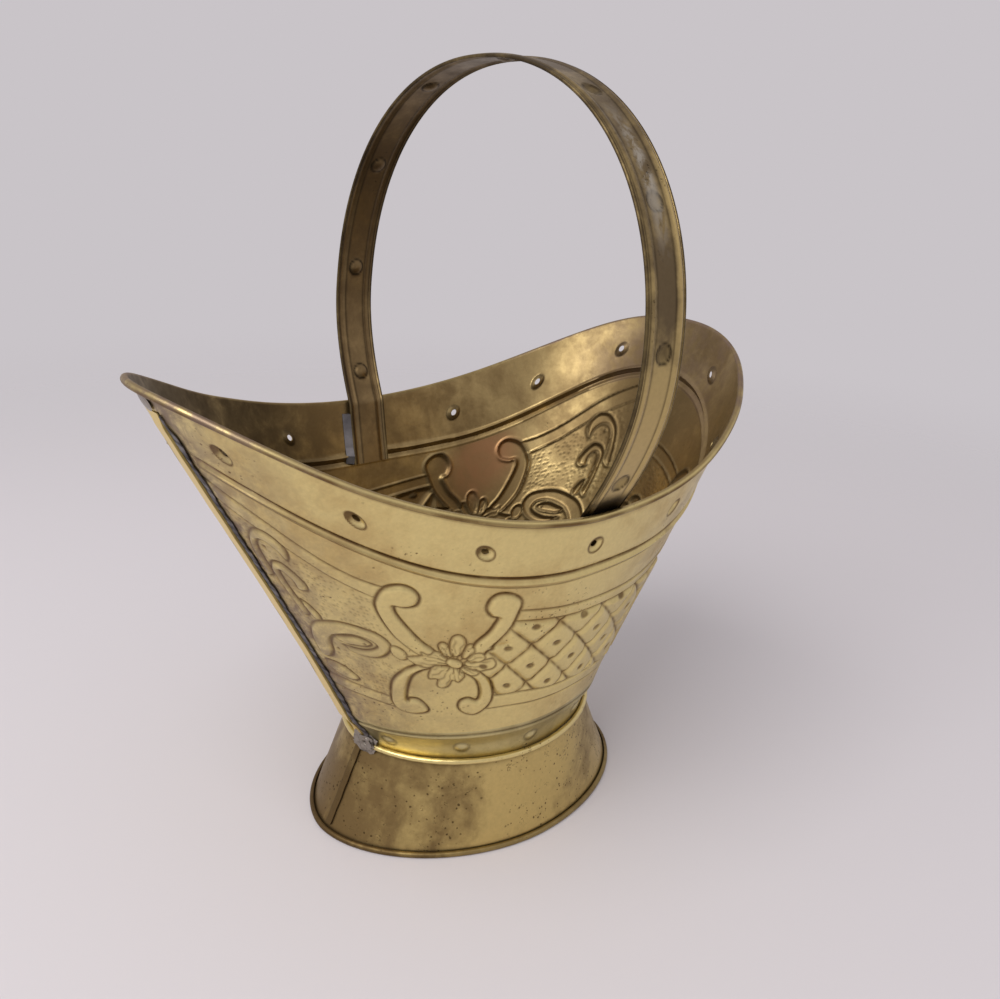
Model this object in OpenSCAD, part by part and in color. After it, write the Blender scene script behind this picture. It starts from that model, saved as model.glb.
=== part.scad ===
// Helmet coal scuttle in thin stamped brass sheet.
// One sheet is wrapped round to make the bowl and closed by a folded seam down the front.
// It stands on a flared oval foot, and a fixed strap handle is soldered inside its walls.
// X runs from the pouring spout (-X) to the back (+X), Y across and Z up from the floor.
// Reaches along X are given from the middle of the neck, and the finished scuttle is then
// centred over its whole length.

/* [Bowl rim] */
// Reach of the spout tip in front of the middle
rim_front = 143.5; // [120:0.5:180]
// Reach of the rim behind the middle
rim_rear = 126.5; // [105:0.5:150]
// Half of the bowl's greatest width, at the rim
rim_half_w = 84.5; // [74:0.5:100]
// Where the rim is widest, along X
rim_wide_at = -8.5; // [-20:0.5:10]
// Height of the rim at the spout tip
rim_front_z = 210.5; // [190:0.5:235]
// Height of the rim at the back
rim_rear_z = 210; // [190:0.5:235]
// Height of the rim at its lowest, on both sides
rim_low_z = 165.5; // [150:0.5:180]
// Roundness of the rim's front half in plan: 2 is an ellipse, less is more pointed
rim_front_round = 1.85; // [1.5:0.05:2.1]
// Roundness of the rim's rear half in plan
rim_rear_round = 2.3; // [1.8:0.05:2.5]
// How late the rim climbs towards the spout
rim_front_climb = 1.9; // [1.4:0.1:2.6]
// How late the rim climbs towards the back
rim_rear_climb = 2.3; // [1.4:0.05:2.8]
// Extra height of the rim on both sides of the spout tip
lip_rise = 1.2; // [0:0.2:4]

/* [Neck, where the bowl meets the foot] */
// Height of the neck
neck_z = 41; // [32:0.5:52]
// Reach of the wall's foot line in front of the middle
neck_front = 60; // [50:0.5:70]
// Reach of the wall's foot line behind the middle
neck_rear = 62.5; // [52:0.5:72]
// Half width of the wall's foot line
neck_half_w = 51.5; // [44:0.5:58]
// Roundness of the neck's front half in plan
neck_front_round = 1.87; // [1.7:0.01:2.1]
// Roundness of the neck's rear half in plan
neck_rear_round = 1.97; // [1.7:0.01:2.1]
// How far the sheet is drawn in at the neck, inside the wall's foot line
neck_inset = 1.8; // [0:0.1:3]

/* [Sheet] */
// Thickness of the brass sheet of the bowl and the foot
sheet_t = 0.6; // [0.5:0.05:0.9]
// How far the wall bellies in between the neck and the rim, as a share of its flare
wall_hollow = 0.35; // [0:0.05:0.5]
// How far that hollow is filled out at the front, as a share: 1 makes the front line straight
front_fill = 0.6; // [0:0.05:1.2]
// Radius of the wire inside the rolled rim
rim_wire_r = 0.7; // [0.5:0.05:1.2]
// Play between a wire and the sheet rolled round it
wire_play = 0.1; // [0.05:0.01:0.2]

/* [Raised bands] */
// How much lower than the rim the raised bead runs at the spout
bead_front_gap = 24.5; // [20:0.5:30]
// How much lower than the rim it runs on both sides
bead_side_gap = 27; // [22:0.1:32]
// How much lower than the rim it runs at the back
bead_rear_gap = 26; // [20:0.5:32]
// How late the bead climbs towards the spout
bead_front_climb = 2.4; // [1.8:0.1:3]
// How late the bead climbs towards the back
bead_rear_climb = 3.3; // [2.2:0.1:4]
// Height of the raised bead above the wall
bead_h = 1; // [0.4:0.1:1.6]
// Width of the raised bead
bead_w = 3; // [2.4:0.2:5]
// Depth of the groove above the raised bead
groove_dep = 0.7; // [0.3:0.1:1.2]
// Width of that groove
groove_w = 2.6; // [2:0.2:4]
// Height of the hollow band above the neck, along the wall
cove_w = 17; // [12:0.5:22]
// Depth of the hollow band
cove_dep = 1.5; // [0.5:0.1:2.5]

/* [Pierced holes in the rim band] */
// Number of holes on each side
hole_count = 7; // [3:1:8]
// Radius of a hole
hole_r = 1.5; // [0.7:0.1:1.8]
// Distance of the first hole from the front seam, along the band
hole_first = 31; // [25:0.5:45]
// Distance from one hole to the next, along the band
hole_pitch = 48; // [38:0.5:50]
// Drop of the holes below the rim, as a share of the bead's drop
hole_share = 0.515; // [0.4:0.005:0.6]

/* [Foot] */
// Reach of the foot in front of the middle
foot_front = 76; // [66:0.5:90]
// Reach of the foot behind the middle
foot_rear = 80; // [70:0.5:95]
// Half width of the foot
foot_half_w = 57.5; // [53:0.5:72]
// Roundness of the foot's front half in plan
foot_front_round = 1.83; // [1.7:0.01:2.1]
// Roundness of the foot's rear half in plan
foot_rear_round = 1.98; // [1.7:0.01:2.1]
// How late the foot flares out
foot_flare = 1; // [0.8:0.05:1.8]
// Width of the flange that is turned in at the top of the foot
flange_w = 6; // [4:0.5:9]
// Radius of the wire inside the foot's rolled hem
hem_wire_r = 0.6; // [0.4:0.05:1]
// Radius of the round bead on the outside of the neck
neck_bead_r = 1.3; // [1:0.1:1.8]

/* [Floor of the bowl] */
// Thickness of the floor plate
floor_t = 0.8; // [0.5:0.1:1.5]
// Height of the floor plate's turned-up edge
floor_edge_h = 4; // [3:0.5:6]
// Clearance between the floor plate and the wall where they are closest
floor_gap = 0.3; // [0.2:0.05:0.5]

/* [Seams] */
// Width of the folded front seam
seam_w = 9; // [4:0.2:10]
// How far the fold's middle lies beside the bowl's middle plane, towards -Y
seam_shift = 3.4; // [1:0.2:5]
// Thickness of the folded front seam
seam_t = 1.1; // [0.8:0.1:1.6]
// Width of the line of solder beside the front seam
seam_solder_w = 3.2; // [1.6:0.2:5]
// Thickness of that line of solder
seam_solder_t = 1.2; // [0.6:0.1:1.6]
// Length of the patch of solder over the fold's top end
tip_solder_h = 8; // [5:0.5:10]
// Width of that patch
tip_solder_w = 7; // [3:0.5:8]
// Width of the foot's folded seam
foot_seam_w = 3.6; // [2.6:0.2:5]
// Thickness of the foot's folded seam
foot_seam_t = 1; // [0.6:0.1:1.4]
// Turn of the foot's seam away from the bowl's seam, in degrees towards -Y
foot_seam_turn = 4; // [0:0.5:8]

/* [Handle] */
// Height of the handle's crown above the floor
handle_top = 320; // [290:1:350]
// Height at which the handle is widest
handle_wide_z = 219; // [210:1:240]
// Half of the handle's greatest width, over its middle line
handle_half_w = 99.5; // [92:0.5:112]
// Squareness of the handle's shoulders: 2 is an ellipse
handle_square = 2.15; // [2:0.05:2.6]
// Width of the strap
strap_w = 19.2; // [14:0.2:24]
// Thickness of the strap's middle
strap_t = 0.8; // [0.6:0.1:1.4]
// Radius of the beads along the strap's edges
strap_bead_r = 1.1; // [0.9:0.1:1.5]
// Where the strap crosses the rim, along X
handle_x = -5.5; // [-20:0.5:15]
// How far the handle leans back, in mm per mm of height
handle_lean = 0.065; // [0:0.005:0.1]
// How far the strap's ends reach down inside the walls, as a share of the wall
handle_tail = 0.225; // [0.12:0.005:0.32]
// Sideways slope of the strap where it leaves the rim
handle_spring = 0.6; // [0.3:0.05:0.8]
// Width of the solder beside each end of the strap, along the wall
strap_solder_w = 3.4; // [2:0.2:5]
// Thickness of that solder where it meets the strap
strap_solder_t = 2; // [1:0.1:2.5]

/* [Hidden] */

brass = [0.72, 0.63, 0.44];
dark_brass = [0.38, 0.32, 0.22];
solder = [0.45, 0.43, 0.41];
around = 72;      // columns round the bowl and the foot
seat = 0.1;       // gap of a piece that is soldered onto the sheet
curl_step = 36;   // a rolled edge turns from the wall at 180 to curl_end, in equal steps
curl_end = -108;
ramp_from = 9.5;  // the bands fade out beside the front seam, in degrees round the bowl
ramp_to = 12;
lip_at = 28;      // the rim's extra height peaks here, in degrees from the front seam

// ---- outlines in plan: t runs from 0 at the front over 90 on the -Y side to 180 at the back
centre_x = (rim_front - rim_rear) / 2;
function oval(t, front, rear, half_w, mid, round_f, round_r) =
    let (c = cos(t), n = c > 0 ? round_f : round_r, reach = c > 0 ? front + mid : rear - mid)
    [centre_x + mid - reach * c, -sign(sin(t)) * half_w * pow(max(0, 1 - pow(abs(c), n)), 1 / n)];
function rim_plan(t) =
    oval(t, rim_front, rim_rear, rim_half_w, rim_wide_at, rim_front_round, rim_rear_round);
function neck_plan(t) =
    oval(t, neck_front, neck_rear, neck_half_w, 0, neck_front_round, neck_rear_round);
function foot_plan(t) =
    oval(t, foot_front, foot_rear, foot_half_w, 0, foot_front_round, foot_rear_round);
function bump(s, w) = abs(s) < w / 2 ? (1 + cos(360 * s / w)) / 2 : 0;
function from_seam(t) = min(t, 360 - t);
// Height of a band: lowest at the sides, and climbing with a power of cos t to the spout and the back
function band_z(t, low, front, rear, front_climb, rear_climb) = let (c = cos(t))
    low + (c > 0 ? (front - low) * pow(c, front_climb) : (rear - low) * pow(-c, rear_climb));
function rim_z(t) = band_z(t, rim_low_z, rim_front_z, rim_rear_z, rim_front_climb, rim_rear_climb)
    + lip_rise * bump(from_seam(t) - lip_at, 2 * lip_at);
function bead_z(t) =
    band_z(t, rim_low_z - bead_side_gap, rim_front_z - bead_front_gap, rim_rear_z - bead_rear_gap,
           bead_front_climb, bead_rear_climb);

// ---- the bowl's outer surface: v runs from 0 at the neck to 1 at the rim
front_fill_round = 4;
function flare(t, v) =
    v - wall_hollow * (1 - front_fill * pow(max(0, cos(t)), front_fill_round)) * v * pow(1 - v, 2);
function plain_wall(t, v) =
    let (a = neck_plan(t), b = rim_plan(t), p = a + (b - a) * flare(t, v))
    [p.x, p.y, neck_z + (rim_z(t) - neck_z) * v];
function wall_len(t) = norm(plain_wall(t, 1) - plain_wall(t, 0));
function level_normal(t, v) =
    let (d = plain_wall(t + 1, v) - plain_wall(t - 1, v), n = [d.y, -d.x, 0]) n / norm(n);
function up_wall(t, v) = let (d = plain_wall(t, v) - plain_wall(t, v - 0.02)) d / norm(d);
function wall_normal(t, v) =
    let (d = plain_wall(t + 1, v) - plain_wall(t - 1, v), n = cross(d, up_wall(t, v))) n / norm(n);
function seam_fade(t) = max(0, min(1, (from_seam(t) - ramp_from) / (ramp_to - ramp_from)));
function bead_drop(t) = wall_len(t) * (rim_z(t) - bead_z(t)) / (rim_z(t) - neck_z);
function hole_drop(t) = hole_share * bead_drop(t);
function hollow(rise) =
    rise < cove_w ? cove_dep * sin(180 * rise / cove_w) + neck_inset * (1 - rise / cove_w) : 0;
function bands(t, v) =
    let (len = wall_len(t), drop = (1 - v) * len - bead_drop(t))
    seam_fade(t) * (bead_h * bump(drop, bead_w) - groove_dep * bump(drop + (bead_w + groove_w) / 2, groove_w))
        - hollow(v * len);
function wall(t, v, out = 0) = plain_wall(t, v) + (bands(t, v) + out) * level_normal(t, v);

// ---- the foot's outer surface: s runs from 0 at the neck to 1 at the floor
function neck_offset(t, out) =
    let (p = neck_plan(t), d = neck_plan(t + 1) - neck_plan(t - 1), n = [d.y, -d.x] / norm(d))
    p + (out - neck_inset) * n;
function foot(t, s, out = 0) =
    let (a = neck_offset(t, 0), b = foot_plan(t), p = a + (b - a) * pow(s, foot_flare),
        d = foot_plan(t + 1) - foot_plan(t - 1), n = [d.y, -d.x] / norm(d), q = p + out * n)
    [q.x, q.y, neck_z - (neck_z - hem_lift) * s];

// ---- solids carried along a path of cross-sections
module skin(rings, loop = true) {
    n = len(rings);
    m = len(rings[0]);
    pts = [for (r = rings) each r];
    sides = [for (i = [0 : loop ? n - 1 : n - 2], j = [0 : m - 1])
        let (k = (i + 1) % n, l = (j + 1) % m, a = i * m + j, b = i * m + l, c = k * m + l, d = k * m + j)
        each [[a, b, c], [a, c, d]]];
    ends = loop ? [] : [[for (j = [m - 1 : -1 : 0]) j], [for (j = [0 : m - 1]) (n - 1) * m + j]];
    polyhedron(points = pts, faces = concat(sides, ends), convexity = 10);
}
function turn(i) = 360 * i / around;

// Rolled edge of the sheet, from its outer face round to its inner face.
// p is on the outer face, n points out of the wall and u along it to the edge.
function curl(p, n, u, r) = concat(
    [for (a = [180 - curl_step : -curl_step : curl_end]) p + n * r + r * (cos(a) * n + sin(a) * u)],
    [for (a = [curl_end : curl_step : 180]) p + n * r + (r + sheet_t) * (cos(a) * n + sin(a) * u)]);

rim_curl_r = rim_wire_r + wire_play;
hem_curl_r = hem_wire_r + wire_play;
hem_r = hem_curl_r + sheet_t;
hem_lift = hem_r * cos(curl_step / 2);  // the hem stands on one flat of its curl

// ---- rows up the wall, as a drop below the rim or a rise above the neck
function top_rows(t) = let (d = bead_drop(t))
    [0, hole_drop(t) / 2, hole_drop(t), d - bead_w / 2 - groove_w, d - (bead_w + groove_w) / 2,
     d - bead_w / 2, d, d + bead_w / 2];
low_rows = [0, cove_w / 4, cove_w / 2, cove_w * 3 / 4, cove_w];
mid_rows = 4;
function wall_rows(t) =
    let (len = wall_len(t), top = top_rows(t), last = len(top) - 1,
        hi = 1 - top[last] / len, lo = cove_w / len)
    concat([for (h = low_rows) h / len],
           [for (k = [1 : mid_rows]) lo + (hi - lo) * k / (mid_rows + 1)],
           [for (k = [last : -1 : 0]) 1 - top[k] / len]);
function body_section(t) =
    let (rows = wall_rows(t), n = len(rows))
    concat([for (v = rows) wall(t, v)],
           curl(plain_wall(t, 1), wall_normal(t, 1), up_wall(t, 1), rim_curl_r),
           [for (k = [n - 2 : -1 : 0]) wall(t, rows[k], -sheet_t)]);

// ---- places of the pierced holes: equal steps along the band
band_steps = 90;
function hole_v(t) = 1 - hole_drop(t) / wall_len(t);
function band_point(t) = wall(t, hole_v(t));
band_cuts = [for (i = [0 : band_steps]) band_point(180 * i / band_steps)];
function run(i) = i == 0 ? 0 : norm(band_cuts[i] - band_cuts[i - 1]);
band_table = [for (i = 0, s = 0; i <= band_steps; i = i + 1, s = s + (i <= band_steps ? run(i) : 0))
    [s, 180 * i / band_steps]];
hole_turns = [for (k = [0 : hole_count - 1])
    let (s = hole_first + k * hole_pitch) if (s < band_table[band_steps][0] - hole_r * 2)
    lookup(s, band_table)];

// Cylinder whose axis leaves p along n
module along(p, n, r, h) {
    translate(p)
        rotate([0, acos(n.z), atan2(n.y, n.x)])
            cylinder(r = r, h = h, center = true, $fn = 24);
}

module body_sheet() {
    color(brass) difference() {
        skin([for (i = [0 : around - 1]) body_section(turn(i))]);
        for (t = hole_turns, side = [t, 360 - t])
            along(wall(side, hole_v(side), -sheet_t / 2), wall_normal(side, hole_v(side)), hole_r,
                  sheet_t * 6);
    }
}

// Round wire that follows a closed path; centre, outward and upward directions per turn
function wire_section(c, n, u, r, sides = 6) =
    [for (j = [0 : sides - 1]) c + r * (cos(-360 * j / sides) * n + sin(-360 * j / sides) * u)];

module rim_wire() {
    color(brass) skin([for (i = [0 : around - 1])
        let (t = turn(i), n = wall_normal(t, 1), u = up_wall(t, 1))
        wire_section(plain_wall(t, 1) + n * rim_curl_r, n, u, rim_wire_r)]);
}

// ---- front seam: a flat fold down the spout, lapped over towards -Y
// Angle round the bowl at which the wall lies y beside its middle plane, at the front
function beside(y, v, lo = 0, hi = 40, n = 14) = n == 0 ? lo :
    let (mid = (lo + hi) / 2) abs(wall(mid, v).y) < y ? beside(y, v, mid, hi, n - 1)
                                                      : beside(y, v, lo, mid, n - 1);
// Place on the outer face at y beside the middle plane, and its directions across, out and up
function seam_frame(y, v) =
    let (t = beside(y, v), n = wall_normal(t, v), u = up_wall(t, v)) [wall(t, v), cross(u, n), n, u];
// Flattened round section: half width and half height along two directions
function flat_section(c, w, n, half_w, half_h, sides = 8) =
    [for (j = [0 : sides - 1])
        c + half_w * cos(-360 * j / sides) * w + half_h * sin(-360 * j / sides) * n];

seam_rows = 14;
fold_top = 0.85;                          // width of the fold's outer face, as a share of its foot
rim_clear = rim_curl_r + sheet_t + seat;  // the rolled rim ends here, below the edge of the wall
seam_top = rim_clear + tip_solder_h + seat;
seam_foot = 2 * neck_bead_r + 1;
function seam_v(k) =
    let (len = wall_len(0), lo = seam_foot / len, hi = 1 - seam_top / len)
    lo + (hi - lo) * k / seam_rows;
module front_seam_fold() {
    color(brass) skin([for (k = [0 : seam_rows])
        let (f = seam_frame(seam_shift, seam_v(k)), low = f[0] + f[2] * seat, high = low + f[2] * seam_t,
            y = f[1] * seam_w / 2)
        [low + y, high + y * fold_top, high - y * fold_top, low - y]], loop = false);
}
module front_seam_solder() {
    y = seam_shift + (seam_w + seam_solder_w) / 2 + seat;
    color(solder) skin([for (k = [0 : seam_rows])
        let (f = seam_frame(y, seam_v(k)))
        flat_section(f[0] + f[2] * (seam_solder_t / 2 + seat), f[1], f[2], seam_solder_w / 2,
                     seam_solder_t / 2)], loop = false);
}

// Patch of solder over the fold's top end: a flattened drop, from one blunt end to the other
tip_solder_rings = 8;
tip_solder_end = 75;
module spout_tip_solder() {
    f = seam_frame(seam_shift, 1 - (rim_clear + tip_solder_h / 2) / wall_len(0));
    centre = f[0] + f[2] * (seam_t / 2 + seat);
    color(solder) skin([for (k = [0 : tip_solder_rings])
        let (a = tip_solder_end * (2 * k / tip_solder_rings - 1))
        flat_section(centre + f[3] * sin(a) * tip_solder_h / 2, f[1], f[2], cos(a) * tip_solder_w / 2,
                     cos(a) * seam_t / 2)], loop = false);
}

// ---- floor plate, on the flange of the foot
floor_inset = sheet_t + floor_gap
    + max(0, max([for (k = [0 : 4]) hollow((floor_edge_h + floor_t) * k / 4)]) - neck_inset);
function neck_outline(out) = [for (i = [0 : around - 1]) neck_offset(turn(i), out)];
module floor_plate() {
    color(dark_brass) translate([0, 0, neck_z]) {
        linear_extrude(floor_t) polygon(neck_outline(-floor_inset));
        linear_extrude(floor_t + floor_edge_h) difference() {
            polygon(neck_outline(-floor_inset));
            polygon(neck_outline(-floor_inset - floor_t));
        }
    }
}

// Fillet of solder that fills the corner between the plate's edge and the wall
module floor_solder_ring() {
    z = neck_z + floor_t + floor_edge_h + seat;
    h = floor_gap + floor_t;
    color(solder) skin([for (i = [0 : around - 1])
        let (t = turn(i), v = (z - neck_z) / (rim_z(t) - neck_z), w = (z + h - neck_z) / (rim_z(t) - neck_z),
            a = wall(t, v, -sheet_t - seat * 2), b = wall(t, w, -sheet_t - seat * 2),
            c = neck_offset(t, -floor_inset - floor_t))
        [[b.x, b.y, z + h], [c.x, c.y, z], [a.x, a.y, z]]]);
}

// ---- neck bead and foot
module neck_bead() {
    color(brass) skin([for (i = [0 : around - 1])
        let (t = turn(i), c = neck_offset(t, neck_bead_r + 2 * seat), n = level_normal(t, 0))
        wire_section([c.x, c.y, neck_z + neck_bead_r * 0.85], n, [0, 0, 1], neck_bead_r, sides = 8)]);
}

foot_rows = 7;
function foot_out(t) = let (d = foot_plan(t + 1) - foot_plan(t - 1), n = [d.y, -d.x, 0]) n / norm(n);
function foot_section(t) =
    let (f1 = neck_offset(t, 0), f2 = neck_offset(t, -flange_w),
        n = foot_out(t), u = [0, 0, -1])
    concat([[f2.x, f2.y, neck_z], [f1.x, f1.y, neck_z]],
           [for (k = [1 : foot_rows]) foot(t, k / foot_rows)],
           curl(foot(t, 1), n, u, hem_curl_r),
           [for (k = [foot_rows - 1 : -1 : 1]) foot(t, k / foot_rows, -sheet_t)],
           let (a = neck_offset(t, -sheet_t)) [[a.x, a.y, neck_z - sheet_t], [f2.x, f2.y, neck_z - sheet_t]]);
module foot_skirt() {
    color(dark_brass) skin([for (i = [around - 1 : -1 : 0]) foot_section(turn(i))]);
}

module foot_hem_wire() {
    color(dark_brass) skin([for (i = [0 : around - 1])
        let (t = turn(i)) wire_section(foot(t, 1) + foot_out(t) * hem_curl_r, foot_out(t), [0, 0, 1],
                                       hem_wire_r)]);
}

foot_seam_rows = 6;
foot_seam_from = (neck_bead_r + 1) / neck_z;
foot_seam_to = 1 - 2 * hem_r / neck_z;
module foot_seam_fold() {
    t = foot_seam_turn;
    n = foot_out(t);
    y = cross(n, [0, 0, -1]) * foot_seam_w / 2;
    color(dark_brass) skin([for (k = [foot_seam_rows : -1 : 0])
        let (p = foot(t, foot_seam_from + (foot_seam_to - foot_seam_from) * k / foot_seam_rows))
        [p + n * seat - y, p + n * (seat + foot_seam_t) - y * fold_top,
         p + n * (seat + foot_seam_t) + y * fold_top, p + n * seat + y]], loop = false);
}

// ---- handle: a beaded strap that stands inside the walls, bellies out and arches over
function strap_x(z) = centre_x + handle_x + handle_lean * (z - rim_low_z);
function turn_at(x, v) =
    let (f = flare(90, v), d = centre_x + f * rim_wide_at - x,
        reach = d > 0 ? neck_front + f * (rim_front + rim_wide_at - neck_front)
                      : neck_rear + f * (rim_rear - rim_wide_at - neck_rear))
    acos(d / reach);
strap_in = sheet_t + groove_dep + seat + strap_bead_r;
function tail_point(v) =
    let (z = neck_z + (rim_low_z - neck_z) * v, x = strap_x(z),
        a = plain_wall(turn_at(x - strap_w / 2, v), v), b = plain_wall(turn_at(x + strap_w / 2, v), v))
    [min(abs(a.y), abs(b.y)) - strap_in, z];
tail_steps = 5;
belly_steps = 9;
crown_steps = 16;
rim_at = tail_point(1);
function belly(u) =
    let (h = handle_wide_z - rim_at.y, y0 = rim_at.x, y1 = handle_half_w)
    [y0 + (y1 - y0) * (3 * u * u - 2 * u * u * u) + handle_spring * h * u * (1 - u) * (1 - u),
     rim_at.y + h * u];
function crown(a) =
    [handle_half_w * pow(max(0, cos(a)), 2 / handle_square),
     handle_wide_z + (handle_top - strap_bead_r - handle_wide_z) * pow(sin(a), 2 / handle_square)];
half_path = concat(
    [for (k = [0 : tail_steps - 1]) tail_point(1 - handle_tail * (1 - k / tail_steps))],
    [for (k = [0 : belly_steps - 1]) belly(k / belly_steps)],
    [for (k = [0 : crown_steps]) crown(90 * k / crown_steps)]);
path = concat(half_path, [for (k = [len(half_path) - 2 : -1 : 0]) [-half_path[k].x, half_path[k].y]]);

// Cross-section of the strap: along its width, and out of its face
strap_profile =
    let (w = strap_w / 2, r = strap_bead_r, c = w - r, e = strap_t / 2,
        bead = [for (a = [150 : -60 : -150]) [c + r * cos(a), r * sin(a)]], web = c - r * 1.6)
    concat([[-web, e], [web, e]], bead, [[web, -e], [-web, -e]],
           [for (k = [len(bead) - 1 : -1 : 0]) [-bead[k].x, bead[k].y]]);
function strap_ring(i) =
    let (a = path[max(0, i - 1)], b = path[min(len(path) - 1, i + 1)], d = (b - a) / norm(b - a), p = path[i])
    [for (q = strap_profile) [strap_x(p.y) + q.x, p.x + d.y * q.y, p.y - d.x * q.y]];
module handle_strap() {
    color(dark_brass) skin([for (i = [0 : len(path) - 1]) strap_ring(i)], loop = false);
}

// Fillet of solder in the corner between the wall's inside and the front edge of the strap's end
strap_solder_rows = 6;
strap_solder_share = 5 / 6;  // share of the strap's end that it covers, from the lower edge up
module handle_solder(side) {
    v0 = 1 - handle_tail;
    v1 = v0 + handle_tail * strap_solder_share;
    gap = sheet_t + 2 * seat;
    color(solder) skin([for (k = [0 : strap_solder_rows])
        let (v = v0 + (v1 - v0) * k / strap_solder_rows,
            x = strap_x(neck_z + (rim_low_z - neck_z) * v) - strap_w / 2 - seat,
            a = wall(turn_at(x - strap_solder_w, v), v, -gap), b = wall(turn_at(x, v), v, -gap),
            c = wall(turn_at(x, v), v, -gap - strap_solder_t))
        [for (p = side < 0 ? [a, b, c] : [c, b, a]) [p.x, -side * p.y, p.z]]], loop = false);
}
module handle_solder_near() {
    handle_solder(-1);
}
module handle_solder_far() {
    handle_solder(1);
}

body_sheet();
rim_wire();
front_seam_fold();
front_seam_solder();
spout_tip_solder();
floor_plate();
floor_solder_ring();
neck_bead();
foot_skirt();
foot_hem_wire();
foot_seam_fold();
handle_strap();
handle_solder_near();
handle_solder_far();
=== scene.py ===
# Helmet coal scuttle in old stamped brass: the finished surfaces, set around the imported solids.
# Shapes are worked out in millimetres, in the solids' own frame, and made into meshes in metres.
import math
from types import SimpleNamespace

import bpy
import numpy as np
from mathutils import Matrix


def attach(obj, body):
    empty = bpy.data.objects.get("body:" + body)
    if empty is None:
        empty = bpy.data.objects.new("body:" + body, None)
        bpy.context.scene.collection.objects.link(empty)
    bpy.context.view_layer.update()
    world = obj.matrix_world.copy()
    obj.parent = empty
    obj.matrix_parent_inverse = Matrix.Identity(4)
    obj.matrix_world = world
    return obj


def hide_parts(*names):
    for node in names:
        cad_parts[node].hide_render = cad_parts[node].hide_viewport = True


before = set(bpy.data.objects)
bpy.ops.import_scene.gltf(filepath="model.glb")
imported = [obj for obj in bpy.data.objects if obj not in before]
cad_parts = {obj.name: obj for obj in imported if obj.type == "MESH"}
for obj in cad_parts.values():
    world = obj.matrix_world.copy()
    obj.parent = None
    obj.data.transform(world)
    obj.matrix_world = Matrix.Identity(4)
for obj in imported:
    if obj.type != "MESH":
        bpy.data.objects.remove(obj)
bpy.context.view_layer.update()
MM = 0.001


# ---- Studio ------------------------------------------------------------------------------------
# A pale table top that runs out into an even backdrop, one large soft lamp over the camera's left
# shoulder, a smaller one on the right, and an even pale room for everything else.
VIEW_TURN, VIEW_RISE, VIEW_ROLL = math.radians(-39.79), math.radians(21.32), math.radians(3.48)
VIEW_DISTANCE = 0.43745
VIEW_TARGET = np.array([0.02302, 0, 0.13841])
LENS, SENSOR = 35.09, 36


def srgb(red, green, blue):
    """Colour as it looks on a screen (0 to 255), turned into the linear values that shaders use."""
    c = np.array([red, green, blue]) / 255
    linear = np.where(c <= 0.04045, c / 12.92, ((c + 0.055) / 1.055) ** 2.4)
    return (*linear.tolist(), 1)


def add(tree, kind, inputs=None, **settings):
    """Adds a node. An input's value is set, or linked where it is another node's socket."""
    made = tree.nodes.new(kind)
    for key, value in settings.items():
        setattr(made, key, value)
    for key, value in (inputs or {}).items():
        if isinstance(value, bpy.types.NodeSocket):
            tree.links.new(value, made.inputs[key])
        else:
            made.inputs[key].default_value = value
    return made


def new_material(name):
    """Empty node material, and its tree and output node."""
    made = bpy.data.materials.new(name)
    made.use_nodes = True
    made.node_tree.nodes.clear()
    return made, made.node_tree, made.node_tree.nodes.new("ShaderNodeOutputMaterial")


def aim(turn, rise):
    """Directions right, up and back of something that looks at the target: back is -Y turned about Z
    and raised, right is level, and up is square to both."""
    back = np.array([math.sin(turn) * math.cos(rise), -math.cos(turn) * math.cos(rise), math.sin(rise)])
    right = np.array([math.cos(turn), math.sin(turn), 0])
    return right, np.cross(right, -back), back


def place(made, turn, rise, distance, roll=0.0):
    """Puts a camera or a lamp at that distance from the target, looking at it."""
    right, up, back = aim(turn, rise)
    rolled = right * math.cos(roll) + up * math.sin(roll), up * math.cos(roll) - right * math.sin(roll)
    turned = np.eye(4)
    turned[:3, :3] = np.stack([*rolled, back], 1)
    turned[:3, 3] = VIEW_TARGET + back * distance
    made.matrix_world = Matrix(turned.tolist())
    bpy.context.scene.collection.objects.link(made)


def lamp(name, turn, rise, distance, size, power):
    """Square soft lamp that looks at the scuttle."""
    light = bpy.data.lights.new(name, "AREA")
    light.size, light.energy = size, power
    place(bpy.data.objects.new(name, light), math.radians(turn), math.radians(rise), distance)


camera = bpy.data.cameras.new("camera")
camera.lens, camera.sensor_width, camera.sensor_fit = LENS, SENSOR, "HORIZONTAL"
camera_object = bpy.data.objects.new("camera", camera)
place(camera_object, VIEW_TURN, VIEW_RISE, VIEW_DISTANCE, VIEW_ROLL)
bpy.context.scene.camera = camera_object
bpy.context.scene.view_settings.view_transform = "Standard"

lamp("key_lamp", turn=-75, rise=50, distance=1.5, size=1.1, power=16)
lamp("side_lamp", turn=35, rise=40, distance=1.5, size=0.8, power=0.4)

BACKDROP = srgb(201, 196, 200)
ROOM = (0.57, 0.56, 0.57, 1)
world = bpy.data.worlds.new("room")
world.use_nodes = True
world.node_tree.nodes.clear()
tree = world.node_tree
rays = add(tree, "ShaderNodeLightPath")
seen = add(tree, "ShaderNodeMath", {0: rays.outputs["Is Camera Ray"], 1: rays.outputs["Is Glossy Ray"]},
           operation="MAXIMUM")
seen = add(tree, "ShaderNodeMath", {0: seen.outputs[0], 1: rays.outputs["Is Transmission Ray"]},
           operation="MAXIMUM")
shown = add(tree, "ShaderNodeMix", {0: seen.outputs[0], 6: ROOM, 7: BACKDROP}, data_type="RGBA")
sky = add(tree, "ShaderNodeBackground", {"Color": shown.outputs[2], "Strength": 1.0})
add(tree, "ShaderNodeOutputWorld", {"Surface": sky.outputs[0]})
bpy.context.scene.world = world

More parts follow.
